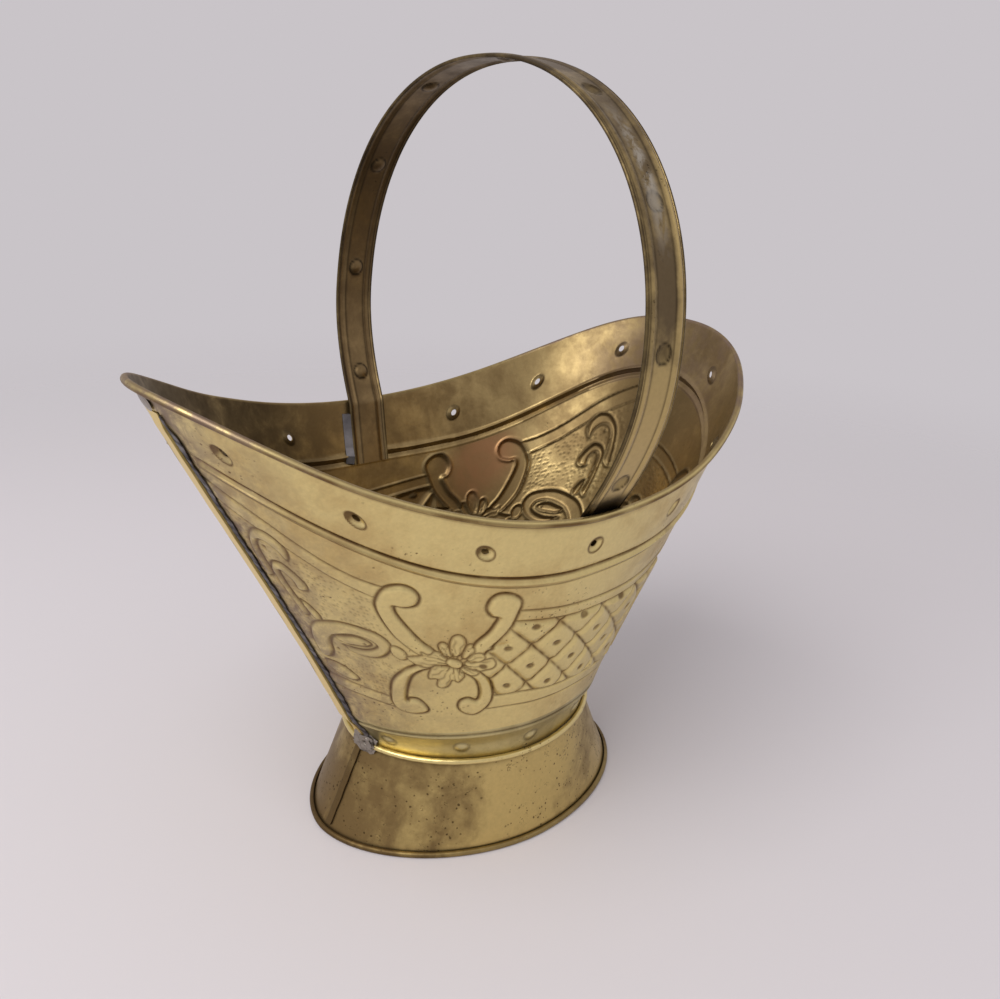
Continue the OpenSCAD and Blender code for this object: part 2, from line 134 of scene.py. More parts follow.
TABLE_RADIUS, TABLE_EVEN, TABLE_GONE, TABLE_SIDES = 1.1, 0.35, 0.97, 96
TABLE_PAINT = srgb(214, 208, 211)


def table_top():
    """Flat round table top. Its surface is even near the scuttle and turns clear, by a smooth step of
    the distance from the middle, just before its edge."""
    turns = np.linspace(0, 2 * math.pi, TABLE_SIDES, endpoint=False)
    mesh = bpy.data.meshes.new("table_top")
    rim = np.stack([np.cos(turns), np.sin(turns), 0 * turns], 1) * TABLE_RADIUS
    mesh.from_pydata(rim.tolist(), [], [list(range(len(turns)))])
    material, tree, output = new_material("table_top")
    place_on = add(tree, "ShaderNodeTexCoord")
    out = add(tree, "ShaderNodeVectorMath", {0: place_on.outputs["Object"]}, operation="LENGTH")
    limits = {"From Min": TABLE_EVEN, "From Max": TABLE_RADIUS * TABLE_GONE}
    fade = add(tree, "ShaderNodeMapRange", {"Value": out.outputs["Value"], **limits},
               interpolation_type="SMOOTHSTEP")
    paint = add(tree, "ShaderNodeBsdfPrincipled", {"Base Color": TABLE_PAINT, "Roughness": 0.9})
    clear = add(tree, "ShaderNodeBsdfTransparent")
    both = add(tree, "ShaderNodeMixShader", {0: fade.outputs[0], 1: paint.outputs[0], 2: clear.outputs[0]})
    tree.links.new(both.outputs[0], output.inputs[0])
    mesh.materials.append(material)
    made = bpy.data.objects.new("table_top", mesh)
    bpy.context.scene.collection.objects.link(made)


table_top()


# ---- Bowl --------------------------------------------------------------------------------------
# One sheet of brass, stamped flat with its ornament, wrapped round into a helmet shape and closed at
# the front. Its rim is rolled outwards over a wire. Here are its outlines, its plain surface and the
# old polished brass that all the later pieces vary.
RIM = dict(front=143.5, rear=126.5, half_w=84.5, mid=-8.5, round_f=1.85, round_r=2.3)
NECK = dict(front=60, rear=62.5, half_w=51.5, mid=0, round_f=1.87, round_r=1.97)
CENTRE_X = (RIM["front"] - RIM["rear"]) / 2
RIM_FRONT_Z, RIM_REAR_Z, RIM_LOW_Z, NECK_Z = 210.5, 210, 165.5, 41
RIM_FRONT_CLIMB, RIM_REAR_CLIMB = 1.9, 2.3
LIP_RISE, LIP_AT = 1.2, 28
SHEET_T, HOLLOW, FRONT_FILL, NECK_INSET = 0.6, 0.35, 0.6, 1.8
BEAD_FRONT_Z, BEAD_REAR_Z, BEAD_LOW_Z = 186, 184, 138.5
BEAD_FRONT_CLIMB, BEAD_REAR_CLIMB, BEAD_H, BEAD_W = 2.4, 3.3, 1, 3
BEAD_GROOVE, BEAD_GROOVE_W = 0.7, 2.6
COVE_W, COVE_DEPTH = 17, 1.5
FADE_FROM, FADE_TO = 9.5, 12
NUDGE_T, NUDGE_V = 1, 0.02
SHEET_WAVES = dict(seed=3, wavelength=46, amount=0.16)


def oval(t, front, rear, half_w, mid, round_f, round_r):
    """Closed outline in plan: a superellipse in front of the widest place and another behind it.
    t runs in degrees from 0 at the front over 90 on the -Y side to 180 at the back."""
    c, s = np.cos(np.radians(t)), np.sin(np.radians(t))
    power = np.where(c > 0, round_f, round_r)
    reach = np.where(c > 0, front + mid, rear - mid)
    side = half_w * (1 - np.abs(c) ** power).clip(0) ** (1 / power)
    return np.stack([CENTRE_X + mid - reach * c, -np.sign(s) * side], -1)


def bump(s, width):
    """Smooth hump, half a cosine wave raised by one: 1 in the middle, 0 at half the width to each side."""
    return np.where(np.abs(s) < width / 2, (1 + np.cos(2 * np.pi * s / width)) / 2, 0)


def smooth(s):
    """Smooth step from 0 to 1: three times the square less twice the cube."""
    s = np.clip(s, 0, 1)
    return s * s * (3 - 2 * s)


def ramp(x, start, end):
    """Smooth step of x: 0 at the start, 1 at the end, which may lie below the start."""
    return smooth((x - start) / (end - start))


def from_seam(t):
    """Degrees round the bowl to the front seam."""
    return np.minimum(t % 360, 360 - t % 360)


def band_z(t, low, front, rear, front_climb, rear_climb):
    """Height of a line round the bowl: lowest at the sides, climbing with a power of cos t."""
    c = np.cos(np.radians(t))
    climbs = (front - low) * np.abs(c) ** front_climb, (rear - low) * np.abs(c) ** rear_climb
    return low + np.where(c > 0, *climbs)


def rim_z(t):
    """Height of the rim, with a small lip on both sides of the spout's tip."""
    lip = LIP_RISE * bump(from_seam(t) - LIP_AT, 2 * LIP_AT)
    return lip + band_z(t, RIM_LOW_Z, RIM_FRONT_Z, RIM_REAR_Z, RIM_FRONT_CLIMB, RIM_REAR_CLIMB)


def flare(t, v):
    """Share of the way from the neck's outline to the rim's: a little hollow, least so in front."""
    filled = FRONT_FILL * np.cos(np.radians(t)).clip(0) ** 4
    return v - HOLLOW * (1 - filled) * v * (1 - v) ** 2


def plain_wall(t, v):
    """Outer face without its ornament: the neck's outline blended into the rim's.
    v runs from 0 at the neck to 1 at the rim."""
    neck, rim = oval(t, **NECK), oval(t, **RIM)
    plan = neck + (rim - neck) * flare(t, v)[..., None]
    return np.concatenate([plan, (NECK_Z + (rim_z(t) - NECK_Z) * v)[..., None]], -1)


def unit(d):
    """Directions of length 1: each is divided by its own length."""
    return d / np.linalg.norm(d, axis=-1, keepdims=True)


def wall_length(t):
    """Length of the straight line up the plain wall, from the neck to the rim, at turn t."""
    t = np.asarray(t, float)
    return np.linalg.norm(plain_wall(t, t * 0 + 1) - plain_wall(t, t * 0), axis=-1)


def wall_frame(t, v):
    """Level normal, true normal and upward direction of the plain wall, by small differences."""
    across = plain_wall(t + NUDGE_T, v) - plain_wall(t - NUDGE_T, v)
    up = unit(plain_wall(t, v) - plain_wall(t, v - NUDGE_V))
    level = unit(np.stack([across[..., 1], -across[..., 0], 0 * across[..., 0]], -1))
    return level, unit(np.cross(across, up)), up


def bead_drop(t):
    """Drop of the raised bead below the rim, measured along the wall."""
    bead = band_z(t, BEAD_LOW_Z, BEAD_FRONT_Z, BEAD_REAR_Z, BEAD_FRONT_CLIMB, BEAD_REAR_CLIMB)
    return wall_length(t) * (rim_z(t) - bead) / (rim_z(t) - NECK_Z)


def bands(t, v):
    """Offset of the outer face: a hump for the raised bead, less one for the groove above it, and less
    half a sine wave for the hollow over the neck. The bead fades out beside the front seam."""
    length = wall_length(t)
    below = (1 - v) * length - bead_drop(t)
    rise = v * length
    fade = np.clip((from_seam(t) - FADE_FROM) / (FADE_TO - FADE_FROM), 0, 1)
    cove = np.where(rise < COVE_W, COVE_DEPTH * np.sin(np.pi * np.clip(rise / COVE_W, 0, 1))
                    + NECK_INSET * (1 - rise / COVE_W), 0)
    groove = bump(below + (BEAD_W + BEAD_GROOVE_W) / 2, BEAD_GROOVE_W)
    return fade * (BEAD_H * bump(below, BEAD_W) - BEAD_GROOVE * groove) - cove


def unevenness(points, seed, wavelength, amount):
    """Slow waves that hand work leaves in thin sheet: cosines in seeded directions, added up."""
    random = np.random.default_rng(seed)
    waves = unit(random.normal(size=(9, 3))) * 2 * np.pi / (wavelength * random.uniform(0.7, 1.6, (9, 1)))
    return amount * np.cos(points @ waves.T + random.uniform(0, 2 * np.pi, 9)).sum(-1) / 3


def bowl_faces(t, v, relief):
    """Outer and inner face of the sheet. The relief moves both along the wall's normal."""
    level, normal, _ = wall_frame(t, v)
    middle = plain_wall(t, v) + bands(t, v)[..., None] * level
    relief = relief + unevenness(middle, **SHEET_WAVES)
    outer = middle + relief[..., None] * normal
    return outer, outer - SHEET_T * level


def closed_loops(columns, rows, round_):
    """Quads between neighbouring columns of a grid whose every column is a closed loop of points."""
    c = np.arange(columns if round_ else columns - 1)[:, None]
    m = np.arange(rows)[None]
    d, n = (c + 1) % columns, (m + 1) % rows
    return np.stack([c * rows + m, d * rows + m, d * rows + n, c * rows + n], -1)


def end_faces(columns, rows, start=0):
    """Quads that close both ends of such a grid, each from one side of its loop to the other. The two
    sides meet at the start, counted along the loop."""
    j = np.arange(rows // 2 - 1)
    first = (np.stack([j, j + 1, rows - 2 - j, rows - 1 - j], -1) + start) % rows
    return np.concatenate([first, first[:, ::-1] + (columns - 1) * rows])


def add_piece(name, points, faces, material, nodes, marks=None, crease=50):
    """Makes the mesh with its faces pointing outwards, gives it its marks as attributes and its
    material, parents it to the root, and hides the imported solids that it stands for."""
    points, faces = points.reshape(-1, 3), faces.reshape(-1, 4)
    corners = [points[faces[:, k]] for k in range(4)]
    volume = (corners[0] * (np.cross(corners[1], corners[2]) + np.cross(corners[2], corners[3]))).sum()
    faces = faces if volume > 0 else faces[:, ::-1]
    mesh = bpy.data.meshes.new(name)
    mesh.vertices.add(len(points))
    mesh.vertices.foreach_set("co", (points * MM).ravel())
    mesh.loops.add(faces.size)
    mesh.loops.foreach_set("vertex_index", np.ascontiguousarray(faces).ravel())
    mesh.polygons.add(len(faces))
    mesh.polygons.foreach_set("loop_start", np.arange(0, faces.size, 4))
    mesh.polygons.foreach_set("loop_total", np.full(len(faces), 4))
    mesh.update(calc_edges=True)
    mesh.polygons.foreach_set("use_smooth", np.ones(len(faces), bool))
    mesh.set_sharp_from_angle(angle=math.radians(crease))
    for label, values in (marks or {}).items():
        values = np.ravel(values).astype(np.float32)
        mesh.attributes.new(label, "FLOAT", "POINT").data.foreach_set("value", values)
    mesh.materials.append(material)
    made = bpy.data.objects.new(name, mesh)
    bpy.context.scene.collection.objects.link(made)
    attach(made, "root")
    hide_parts(*nodes)


def add_loops(name, loops, material, slot, node, ring=False, start=0, **marks):
    """Adds a shell whose every column is a closed loop. The columns are joined into a ring, or else
    both ends are closed. Each mark is spread over the whole grid."""
    columns, rows = loops.shape[:2]
    faces = closed_loops(columns, rows, ring).reshape(-1, 4)
    if not ring:
        faces = np.concatenate([faces, end_faces(columns, rows, start)])
    marks = {label: np.broadcast_to(value, (columns, rows)) for label, value in marks.items()}
    add_piece(name, loops, faces, material, [node], marks)


def there_and_back(outer, inner):
    """Joins two faces of a sheet into loops: up the outer face's rows and down the inner face's."""
    return np.concatenate([outer, inner[:, ::-1]], 1)


def math_node(tree, operation, *values, **settings):
    """One step of arithmetic on values or sockets."""
    return add(tree, "ShaderNodeMath", dict(enumerate(values)), operation=operation, **settings).outputs[0]


def step_node(tree, value, low, high, to_low=0.0, to_high=1.0):
    """Smooth step of a value between two limits."""
    limits = {"From Min": low, "From Max": high, "To Min": to_low, "To Max": to_high}
    return add(tree, "ShaderNodeMapRange", {"Value": value, **limits},
               interpolation_type="SMOOTHSTEP").outputs[0]


def mix_node(tree, factor, first, second):
    """Blend of two colours by a factor."""
    return add(tree, "ShaderNodeMix", {0: factor, 6: first, 7: second}, data_type="RGBA").outputs[2]


def noise_node(tree, vector, scale, detail, roughness=0.55, distortion=0.0):
    """Cloudy pattern between 0 and 1, with that many clouds to the metre."""
    return add(tree, "ShaderNodeTexNoise", {"Vector": vector, "Scale": scale, "Detail": detail,
                                            "Roughness": roughness, "Distortion": distortion}).outputs[0]


def stretched(tree, vector, x, y, z):
    """Place multiplied along each axis: less than 1 draws a pattern out, more than 1 packs it."""
    return add(tree, "ShaderNodeVectorMath", {0: vector, 1: (x, y, z)}, operation="MULTIPLY").outputs[0]


PATINA_BROAD, PATINA_FINE, PATINA_STREAK, WORN_OFF = 0.62, 0.28, 0.10, 0.18
ROUGH_BRIGHT, ROUGH_PATINA, ROUGH_FINE, ROUGH_DARK = 0.25, 0.16, 0.10, 0.20


def aged_metal_group():
    """Old metal: blotches of patina, pits, wiping streaks, and dirt that stays in grooves. Patina is a
    weighted sum of clouds, taken through a smooth step, and blends the bright colour into the dull one.
    The wear input takes patina off; on some pieces it also carries painted highlights and sheen. Pits
    and short scratches show where a broad cloud allows them, and they and the dirt input, which on some
    pieces also carries painted shade, are dark."""
    tree = bpy.data.node_groups.new("aged_metal", "ShaderNodeTree")
    kinds = {"C": "NodeSocketColor", "F": "NodeSocketFloat", "V": "NodeSocketVector"}
    for label, kind in (("Vector", "V"), ("Bright", "C"), ("Dull", "C"), ("Dark", "C"), ("Dullness", "F"),
                        ("Pits", "F"), ("Dirt_and_shade", "F"), ("Wear_and_sheen", "F")):
        tree.interface.new_socket(label, in_out="INPUT", socket_type=kinds[kind])
    for label, kind in (("Color", "C"), ("Roughness", "F"), ("Height", "F")):
        tree.interface.new_socket(label, in_out="OUTPUT", socket_type=kinds[kind])
    given = add(tree, "NodeGroupInput").outputs
    vector = given["Vector"]
    broad = noise_node(tree, vector, scale=17, detail=5, roughness=0.6, distortion=0.6)
    fine = noise_node(tree, vector, scale=95, detail=5, roughness=0.65, distortion=0.3)
    grain = noise_node(tree, vector, scale=620, detail=3, roughness=0.6)
    streak = noise_node(tree, stretched(tree, vector, 1, 1, 0.12), scale=160, detail=3, roughness=0.6)
    patina = math_node(tree, "MULTIPLY", broad, PATINA_BROAD)
    patina = math_node(tree, "MULTIPLY_ADD", fine, PATINA_FINE, patina)
    patina = math_node(tree, "MULTIPLY_ADD", streak, PATINA_STREAK, patina)
    patina = math_node(tree, "ADD", patina, given["Dullness"])
    patina = math_node(tree, "SUBTRACT", patina, math_node(tree, "MULTIPLY", given["Wear_and_sheen"], WORN_OFF))
    patina = step_node(tree, patina, low=0.42, high=0.66)
    colour = mix_node(tree, patina, given["Bright"], given["Dull"])
    spots = add(tree, "ShaderNodeTexVoronoi", {"Vector": vector, "Scale": 420.0}).outputs["Distance"]
    spots = math_node(tree, "MULTIPLY_ADD", grain, 0.7, spots)
    spots = step_node(tree, spots, low=0.44, high=0.56, to_low=1.0, to_high=0.0)
    where = noise_node(tree, vector, scale=34, detail=3, roughness=0.6)
    where = step_node(tree, math_node(tree, "ADD", where, given["Pits"]), low=0.62, high=0.78)
    spots = math_node(tree, "MULTIPLY", spots, where)
    wander = noise_node(tree, stretched(tree, vector, 1, 1, 2.6), scale=70, detail=5, roughness=0.7)
    scratch = math_node(tree, "ABSOLUTE", math_node(tree, "SUBTRACT", wander, 0.5))
    scratch = step_node(tree, scratch, low=0.003, high=0.012, to_low=1.0, to_high=0.0)
    short = noise_node(tree, stretched(tree, vector, 1.3, 0.8, 1), scale=210, detail=1)
    short = step_node(tree, short, low=0.6, high=0.68)
    scratch = math_node(tree, "MULTIPLY", math_node(tree, "MULTIPLY", scratch, short), where)
    spots = math_node(tree, "MAXIMUM", spots, scratch)
    cloudy = step_node(tree, fine, low=0.2, high=0.55, to_low=0.62, to_high=1.0)
    dirt = math_node(tree, "MULTIPLY", given["Dirt_and_shade"], cloudy)
    dark = math_node(tree, "MAXIMUM", dirt, math_node(tree, "MULTIPLY", spots, 0.8))
    colour = mix_node(tree, dark, colour, given["Dark"])
    shade = math_node(tree, "MULTIPLY_ADD", grain, 0.24, 0.88)
    colour = add(tree, "ShaderNodeVectorMath", {0: colour, 1: shade}, operation="MULTIPLY").outputs[0]
    rough = math_node(tree, "MULTIPLY_ADD", patina, ROUGH_PATINA, ROUGH_BRIGHT)
    rough = math_node(tree, "MULTIPLY_ADD", fine, ROUGH_FINE, rough)
    rough = math_node(tree, "MULTIPLY_ADD", dark, ROUGH_DARK, rough)
    height = math_node(tree, "MULTIPLY_ADD", fine, 0.5, math_node(tree, "MULTIPLY", grain, 0.25))
    height = math_node(tree, "SUBTRACT", height, math_node(tree, "MULTIPLY", spots, 0.6))
    add(tree, "NodeGroupOutput", {"Color": colour, "Roughness": rough, "Height": height})
    return tree


aged_metal = aged_metal_group()


def metal_material(name, outside, inside=None, bump_height=0.00012, metallic=0.95, finish=None):
    """Principled metal with the old-metal group. outside and inside are each a set of bright, dull
    and dark colours, dullness and pits, and the mark named inner blends between them. The dirt mark and
    the wear mark carry dirt and wear, and on some pieces painted shade and painted highlights too."""
    material, tree, output = new_material(name)
    vector = add(tree, "ShaderNodeTexCoord").outputs["Object"]
    mark = {label: add(tree, "ShaderNodeAttribute", attribute_name=label).outputs["Fac"]
            for label in ("inner", "dirt", "worn")}
    values = {"Vector": vector, "Dirt_and_shade": mark["dirt"], "Wear_and_sheen": mark["worn"]}
    for label in ("Bright", "Dull", "Dark"):
        values[label] = outside[label]
        if inside:
            values[label] = mix_node(tree, mark["inner"], outside[label], inside[label])
    for label in ("Dullness", "Pits"):
        values[label] = outside[label]
        if inside:
            limits = {"To Min": outside[label], "To Max": inside[label]}
            values[label] = add(tree, "ShaderNodeMapRange", {"Value": mark["inner"], **limits}).outputs[0]
    metal = add(tree, "ShaderNodeGroup", node_tree=aged_metal)
    for label, value in values.items():
        if isinstance(value, bpy.types.NodeSocket):
            tree.links.new(value, metal.inputs[label])
        else:
            metal.inputs[label].default_value = value
    colour, rough = metal.outputs["Color"], metal.outputs["Roughness"]
    if finish:
        colour, rough = finish(tree, vector, colour, rough)
    dents = add(tree, "ShaderNodeBump", {"Height": metal.outputs["Height"], "Strength": 0.6,
                                         "Distance": bump_height})
    shader = add(tree, "ShaderNodeBsdfPrincipled", {"Base Color": colour, "Roughness": rough,
                                                    "Metallic": metallic, "Normal": dents.outputs[0]})
    tree.links.new(shader.outputs[0], output.inputs[0])
    return material


COPPER_BLUSH, STAIN_AND_SHADE_GREY = srgb(166, 126, 88), srgb(132, 112, 98)


def heat_marks(tree, vector, colour, rough):
    """Reddish patch inside the far wall, where the brass was overheated, and grey-brown patina where
    the front seam was soldered. The same grey-brown is also painted shade over the bowl's back half
    and the rim's back end."""
    blush = add(tree, "ShaderNodeAttribute", attribute_name="blush").outputs["Fac"]
    cloud = noise_node(tree, vector, scale=60, detail=4, roughness=0.6, distortion=0.5)
    cloud = step_node(tree, cloud, low=0.3, high=0.6, to_low=0.55, to_high=1.0)
    colour = mix_node(tree, math_node(tree, "MULTIPLY", blush, cloud), colour, COPPER_BLUSH)
    stain = add(tree, "ShaderNodeAttribute", attribute_name="stain").outputs["Fac"]
    cloud = noise_node(tree, vector, scale=110, detail=5, roughness=0.65, distortion=0.4)
    cloud = step_node(tree, cloud, low=0.35, high=0.62, to_low=0.25, to_high=1.0)
    stain = math_node(tree, "MULTIPLY", stain, cloud)
    return mix_node(tree, stain, colour, STAIN_AND_SHADE_GREY), math_node(tree, "MULTIPLY_ADD", stain, 0.15, rough)


brass_sheet = metal_material(
    "brass_sheet",
    dict(Bright=srgb(226, 206, 142), Dull=srgb(202, 176, 118), Dark=srgb(100, 70, 36),
         Dullness=-0.02, Pits=0.11),
    dict(Bright=srgb(188, 164, 112), Dull=srgb(136, 114, 76), Dark=srgb(48, 39, 27),
         Dullness=0.10, Pits=0.06),
    finish=heat_marks)

HALF_STEPS = 721
half_turns = np.linspace(0, 180, HALF_STEPS)
half_middle = plain_wall(half_turns, half_turns * 0 + 0.5)
half_arc = np.concatenate([[0], np.linalg.norm(np.diff(half_middle, axis=0), axis=1).cumsum()])
HALF_GIRTH = half_arc[-1]


def arc_of(t):
    """Distance round the bowl at half its height, from the front seam."""
    t = np.asarray(t, float)
    arc = np.interp(np.where(t > 180, 360 - t, t), half_turns, half_arc)
    return np.where(t > 180, 2 * HALF_GIRTH - arc, arc)


def turn_of(arc):
    """Turn at which that distance is reached."""
    arc = np.asarray(arc, float)
    turn = np.interp(np.where(arc > HALF_GIRTH, 2 * HALF_GIRTH - arc, arc), half_arc, half_turns)
    return np.where(arc > HALF_GIRTH, 360 - turn, turn)


# ---- Ornament ----------------------------------------------------------------------------------
# The die's pattern, in millimetres on the flat sheet: a runs round the bowl from the front seam and
# b up the wall from half its height. The second half of the sheet was stamped with the same die.
# A cartouche of four C-scrolls and a flower stands between leaf scrolls and a lattice.
SCROLL, PETAL, RIBBON = 1.1, 0.65, 0.25
LINE_CUT, FINE_CUT, LINE_W, FINE_W = 0.52, 0.30, 0.74, 0.5
C_SCROLLS = [
    [(64, -8.5), (57, -2), (54, 5.5), (53, 14.5), (55, 21), (59.5, 28), (65.5, 31.5), (69.5, 30.5),
     (71, 26.5), (69, 21.5), (64.5, 19), (61, 18.5), (60.5, 14), (63.5, 6), (67, 0), (71, -4), (72, -9)],
    [(88, 3), (93.5, 10), (96, 14.5), (97.5, 18.5), (95, 19.5), (93.5, 23.5), (95, 28.5), (98, 31.5),
     (102, 31.5), (105.5, 29), (106.5, 25.5), (105, 20), (103, 13.5), (99, 7), (91.5, -2), (85, -6)],
    [(66, -12), (61.5, -15.5), (54.5, -21.5), (47, -30.5), (43, -39), (41, -47), (43, -51.5), (49.5, -51.5),
     (56.5, -48.5), (60, -45.5), (59.5, -42.5), (56.5, -39.5), (52, -40.5), (50, -42.5), (52.5, -34.5),
     (57, -25), (63, -18.5), (70, -14)],
    [(86, -10), (93, -17), (95, -23.5), (94.5, -30), (91, -36), (85, -41), (79.5, -41.5), (76, -39),
     (77.5, -34), (82, -31), (86.3, -31.5), (88, -27), (87.5, -21), (85.5, -17.5), (80, -13)]]
PETALS = [
    [(70, -13), (66.5, -17.5), (64.8, -23), (68.9, -22), (68, -26.5), (70.5, -27.3), (73.7, -25), (76, -21),
     (78.5, -21.8), (81, -19), (82, -16.5), (80, -13)],
    [(57.8, -12.5), (61, -10.8), (64.8, -8.6), (65.6, -5.2), (68, -6.2), (71.3, -4.2), (75, -6), (76, -11),
     (72.4, -12.4), (66, -14.5), (61.3, -15.7), (59.5, -14.6)],
    [(81, -12), (84, -11.5), (88.3, -12.8), (87.2, -14.8), (83.7, -15.7), (80.5, -14.5)],
    [(84, -7.5), (89, -6), (92.3, -4.4), (95.1, -4.3), (96.5, -6.9), (95, -9.6), (91.5, -11), (88, -12),
     (83, -10.5)],
    [(84, -6), (87.5, -1.8), (90.3, -1.1), (91.8, -2.8), (91, -5), (86, -8)],
    [(82, -5), (84.5, 1), (85.9, 2.8), (87.4, 2.7), (87.8, 0.1), (86.5, -3), (83.5, -6.5)],
    [(74.5, -6), (73, -2.5), (73.3, 0.3), (75.3, 2.2), (77.2, 1.1), (78.5, -2), (78, -6)],
    [(78, -5), (77.6, 0), (78.4, 3.5), (80, 6.5), (82.4, 7.8), (84.3, 6.4), (84.9, 3.5), (83.5, -1),
     (81, -5)]]
FLOWER_EYE = (78.4, -9.8)
LEAF_SCROLLS = [
    [(8.5, 10), (9.5, 22), (11.5, 30), (15, 35.5), (19, 38.3), (23.5, 37.8), (26.5, 34), (26.8, 29),
     (24.5, 24.5), (23.2, 29), (20.5, 32), (17, 32), (14, 28), (12.8, 20), (12.5, 12)],
    [(13.5, 13), (14, 17), (16.5, 20.5), (20.5, 21.5), (23.5, 19), (26.5, 14), (26, 9.5), (22, 9),
     (21.5, 13.5), (19.5, 16.5), (17, 15.5), (16.8, 9), (17.8, 1), (19.5, -6), (16.5, -8), (14.5, 1)],
    [(19, 1), (21.5, 0.5), (24.5, -4), (24, -8), (21, -6.5)],
    [(12, -34), (11.8, -26), (13.8, -18.5), (18.5, -11.8), (25.5, -7.3), (34.5, -3.4), (43, -2.2),
     (49, -2.7), (52.2, -6), (52, -10), (48.8, -15.2), (43.8, -19.3), (38, -21.4), (33, -21.5),
     (28.5, -19.5), (33.5, -18.6), (38.5, -17.2), (43.5, -14.2), (46.2, -10.8), (44, -8.2), (38, -8.7),
     (31.4, -11.8), (26.2, -15.5), (22.5, -21), (20.5, -28), (17, -33)],
    [(26.2, -15.3), (31, -12.8), (37, -10), (42, -9.8), (43.8, -11.4), (41, -14), (36, -15.8), (31, -17)],
    [(11, -38.2), (18, -36.5), (23, -37.5), (27.2, -41), (24.5, -43.8), (19, -44.4), (13, -42.5)]]
LEAF_SPOTS = [(17.2, 28.5, 1.5), (22.4, -36.5, 1.3), (24.5, -24, 1.2), (41, -11.8, 1.1)]
SMALL_RING = (54.9, -11.2, 3.5, 4.0)
END_LEAF = [(178, 15), (183, 18), (187, 13), (188, 5), (186, -5), (187, -15), (185, -27), (180, -31),
            (178, -22), (180, -11), (179, -1), (177, 8)]
UPPER_RIBBON = [
    [(3, 60), (15, 52), (25, 45), (31, 40), (38, 34.8), (43, 32), (48.5, 29.8), (54, 28.6), (62, 27.8)],
    [(3, 51), (12, 44.5), (26, 34.5), (34, 29), (39.5, 25.5), (46.8, 22.7), (54, 20.6), (60, 19.8)]]
UPPER_RIBBON_BACK = [
    [(101, 22.4), (113, 21.8), (121, 21.3), (133, 20.6), (146, 20.1), (161, 19.5), (180, 20.5), (205, 26),
     (225, 31), (245, 34.5), (258, 36)],
    [(100, 16.4), (111.5, 16.2), (122, 15.6), (131, 15), (141, 14.9), (161, 14), (180, 14.5), (205, 19.5),
     (225, 24.5), (245, 28), (258, 29.5)]]
LOWER_RIBBON = [
    [(3, -48.5), (18, -47.3), (28, -46.4), (36, -45.6), (45, -44.5)],
    [(3, -56), (18, -54.6), (28, -53.2), (36, -52.2), (46, -51)]]
LOWER_RIBBON_BACK = [
    [(90, -28.6), (95.5, -28), (104, -26.5), (113, -25.4), (126, -25.6), (139, -26), (154, -27.4),
     (168, -30), (190, -35), (215, -41), (240, -46), (258, -48)],
    [(88, -37.6), (103, -34.3), (114, -33), (128, -32), (147, -32.6), (167, -35.8), (190, -42),
     (215, -48.5), (240, -53.5), (258, -55.5)]]
LATTICE_A, LATTICE_B, LATTICE_FROM_A, LATTICE_FROM_B = 10.9, 11.2, 112.5, 2.0
LATTICE_START = [(-40, 94), (-17, 94), (-14, 87), (0, 86), (4, 101), (30, 101)]
LATTICE_END, LATTICE_CUT, LATTICE_LINE_W = 178, 0.42, 0.7
LATTICE_RISE, LATTICE_SINK, LATTICE_PILLOW, LATTICE_FADE = 0.8, 0.15, 3.4, 2.5
LATTICE_PIT, LATTICE_PIT_A, LATTICE_PIT_B = 0.8, 2.5, 1.9
MIRROR_AT = 118
ROSETTE, ROSETTE_OUT, ROSETTE_PETAL, ROSETTE_PETALS = (243, -5), (7.5, 8.5), (4.6, 5), 6
EYE_HALF, EYE_RISE, EYE_VEINS, EYE_VEIN_AT = (3.6, 2.7), 0.95, 15, (3.5, 5.2, 7)
PETAL_VEINS, VEIN_CUT, VEIN_DIRT = 13, 0.16, 0.5
PUNCH_CELL, PUNCH_R, PUNCH_R_MORE, PUNCH_NONE, PUNCH_PLACES = 2.0, 0.35, 0.55, 0.35, 211
PUNCH_DEPTH, PUNCH_DIRT = 0.16, 0.42
GROUND_TO, BACK_GROUND_FROM = 53, 187
STAMP_REACH, WIPE_W, RIBBON_EDGE = 3, 0.5, 1.2
DIE_SHIFT_A, DIE_SHIFT_B, DIE_TILT = 1.3, 4.1, 0.03
SPOUT_STRETCH, SPOUT_STRETCH_ARC, SPOUT_STRETCH_RISE = 3.4, 35, 60
SPOUT_SPREAD, SPOUT_SPREAD_ARC = 0.06, 25
BACK_STRETCH, BACK_STRETCH_FROM = 0.02, 110


def curve_through(points, closed, steps=7):
    """Smooth curve through the points: from each to the next runs the cubic whose slope at a point is
    half the step from the point before it to the point after it."""
    p = np.array(points, float)
    if closed:
        start, before, after, beyond = p, np.roll(p, 1, 0), np.roll(p, -1, 0), np.roll(p, -2, 0)
    else:
        start, after = p[:-1], p[1:]
        before, beyond = np.vstack([p[:1], p[:-2]]), np.vstack([p[2:], p[-1:]])
    s = (np.arange(steps) / steps)[:, None, None]
    curve = start + 0.5 * ((after - before) * s + (2 * before - 5 * start + 4 * after - beyond) * s ** 2
                           + (3 * start - before - 3 * after + beyond) * s ** 3)
    curve = curve.transpose(1, 0, 2).reshape(-1, 2)
    return curve if closed else np.vstack([curve, p[-1:]])


def distance(a, b, curve, closed):
    """Distance from each place (a, b) to the curve, and whether a closed curve holds it: then a line
    drawn from it towards +a crosses the curve an odd number of times."""
    p, q = (curve, np.roll(curve, -1, 0)) if closed else (curve[:-1], curve[1:])
    step = q - p
    da, db = a[:, None] - p[:, 0], b[:, None] - p[:, 1]
    along = ((da * step[:, 0] + db * step[:, 1]) / (step ** 2).sum(1)).clip(0, 1)
    gap = np.hypot(da - along * step[:, 0], db - along * step[:, 1]).min(1)
    slope = np.where(step[:, 1] == 0, 1, step[:, 1])
    crossed = ((p[:, 1] > b[:, None]) != (q[:, 1] > b[:, None])) & (da < step[:, 0] * db / slope)
    return gap, closed & (crossed.sum(1) % 2 == 1)


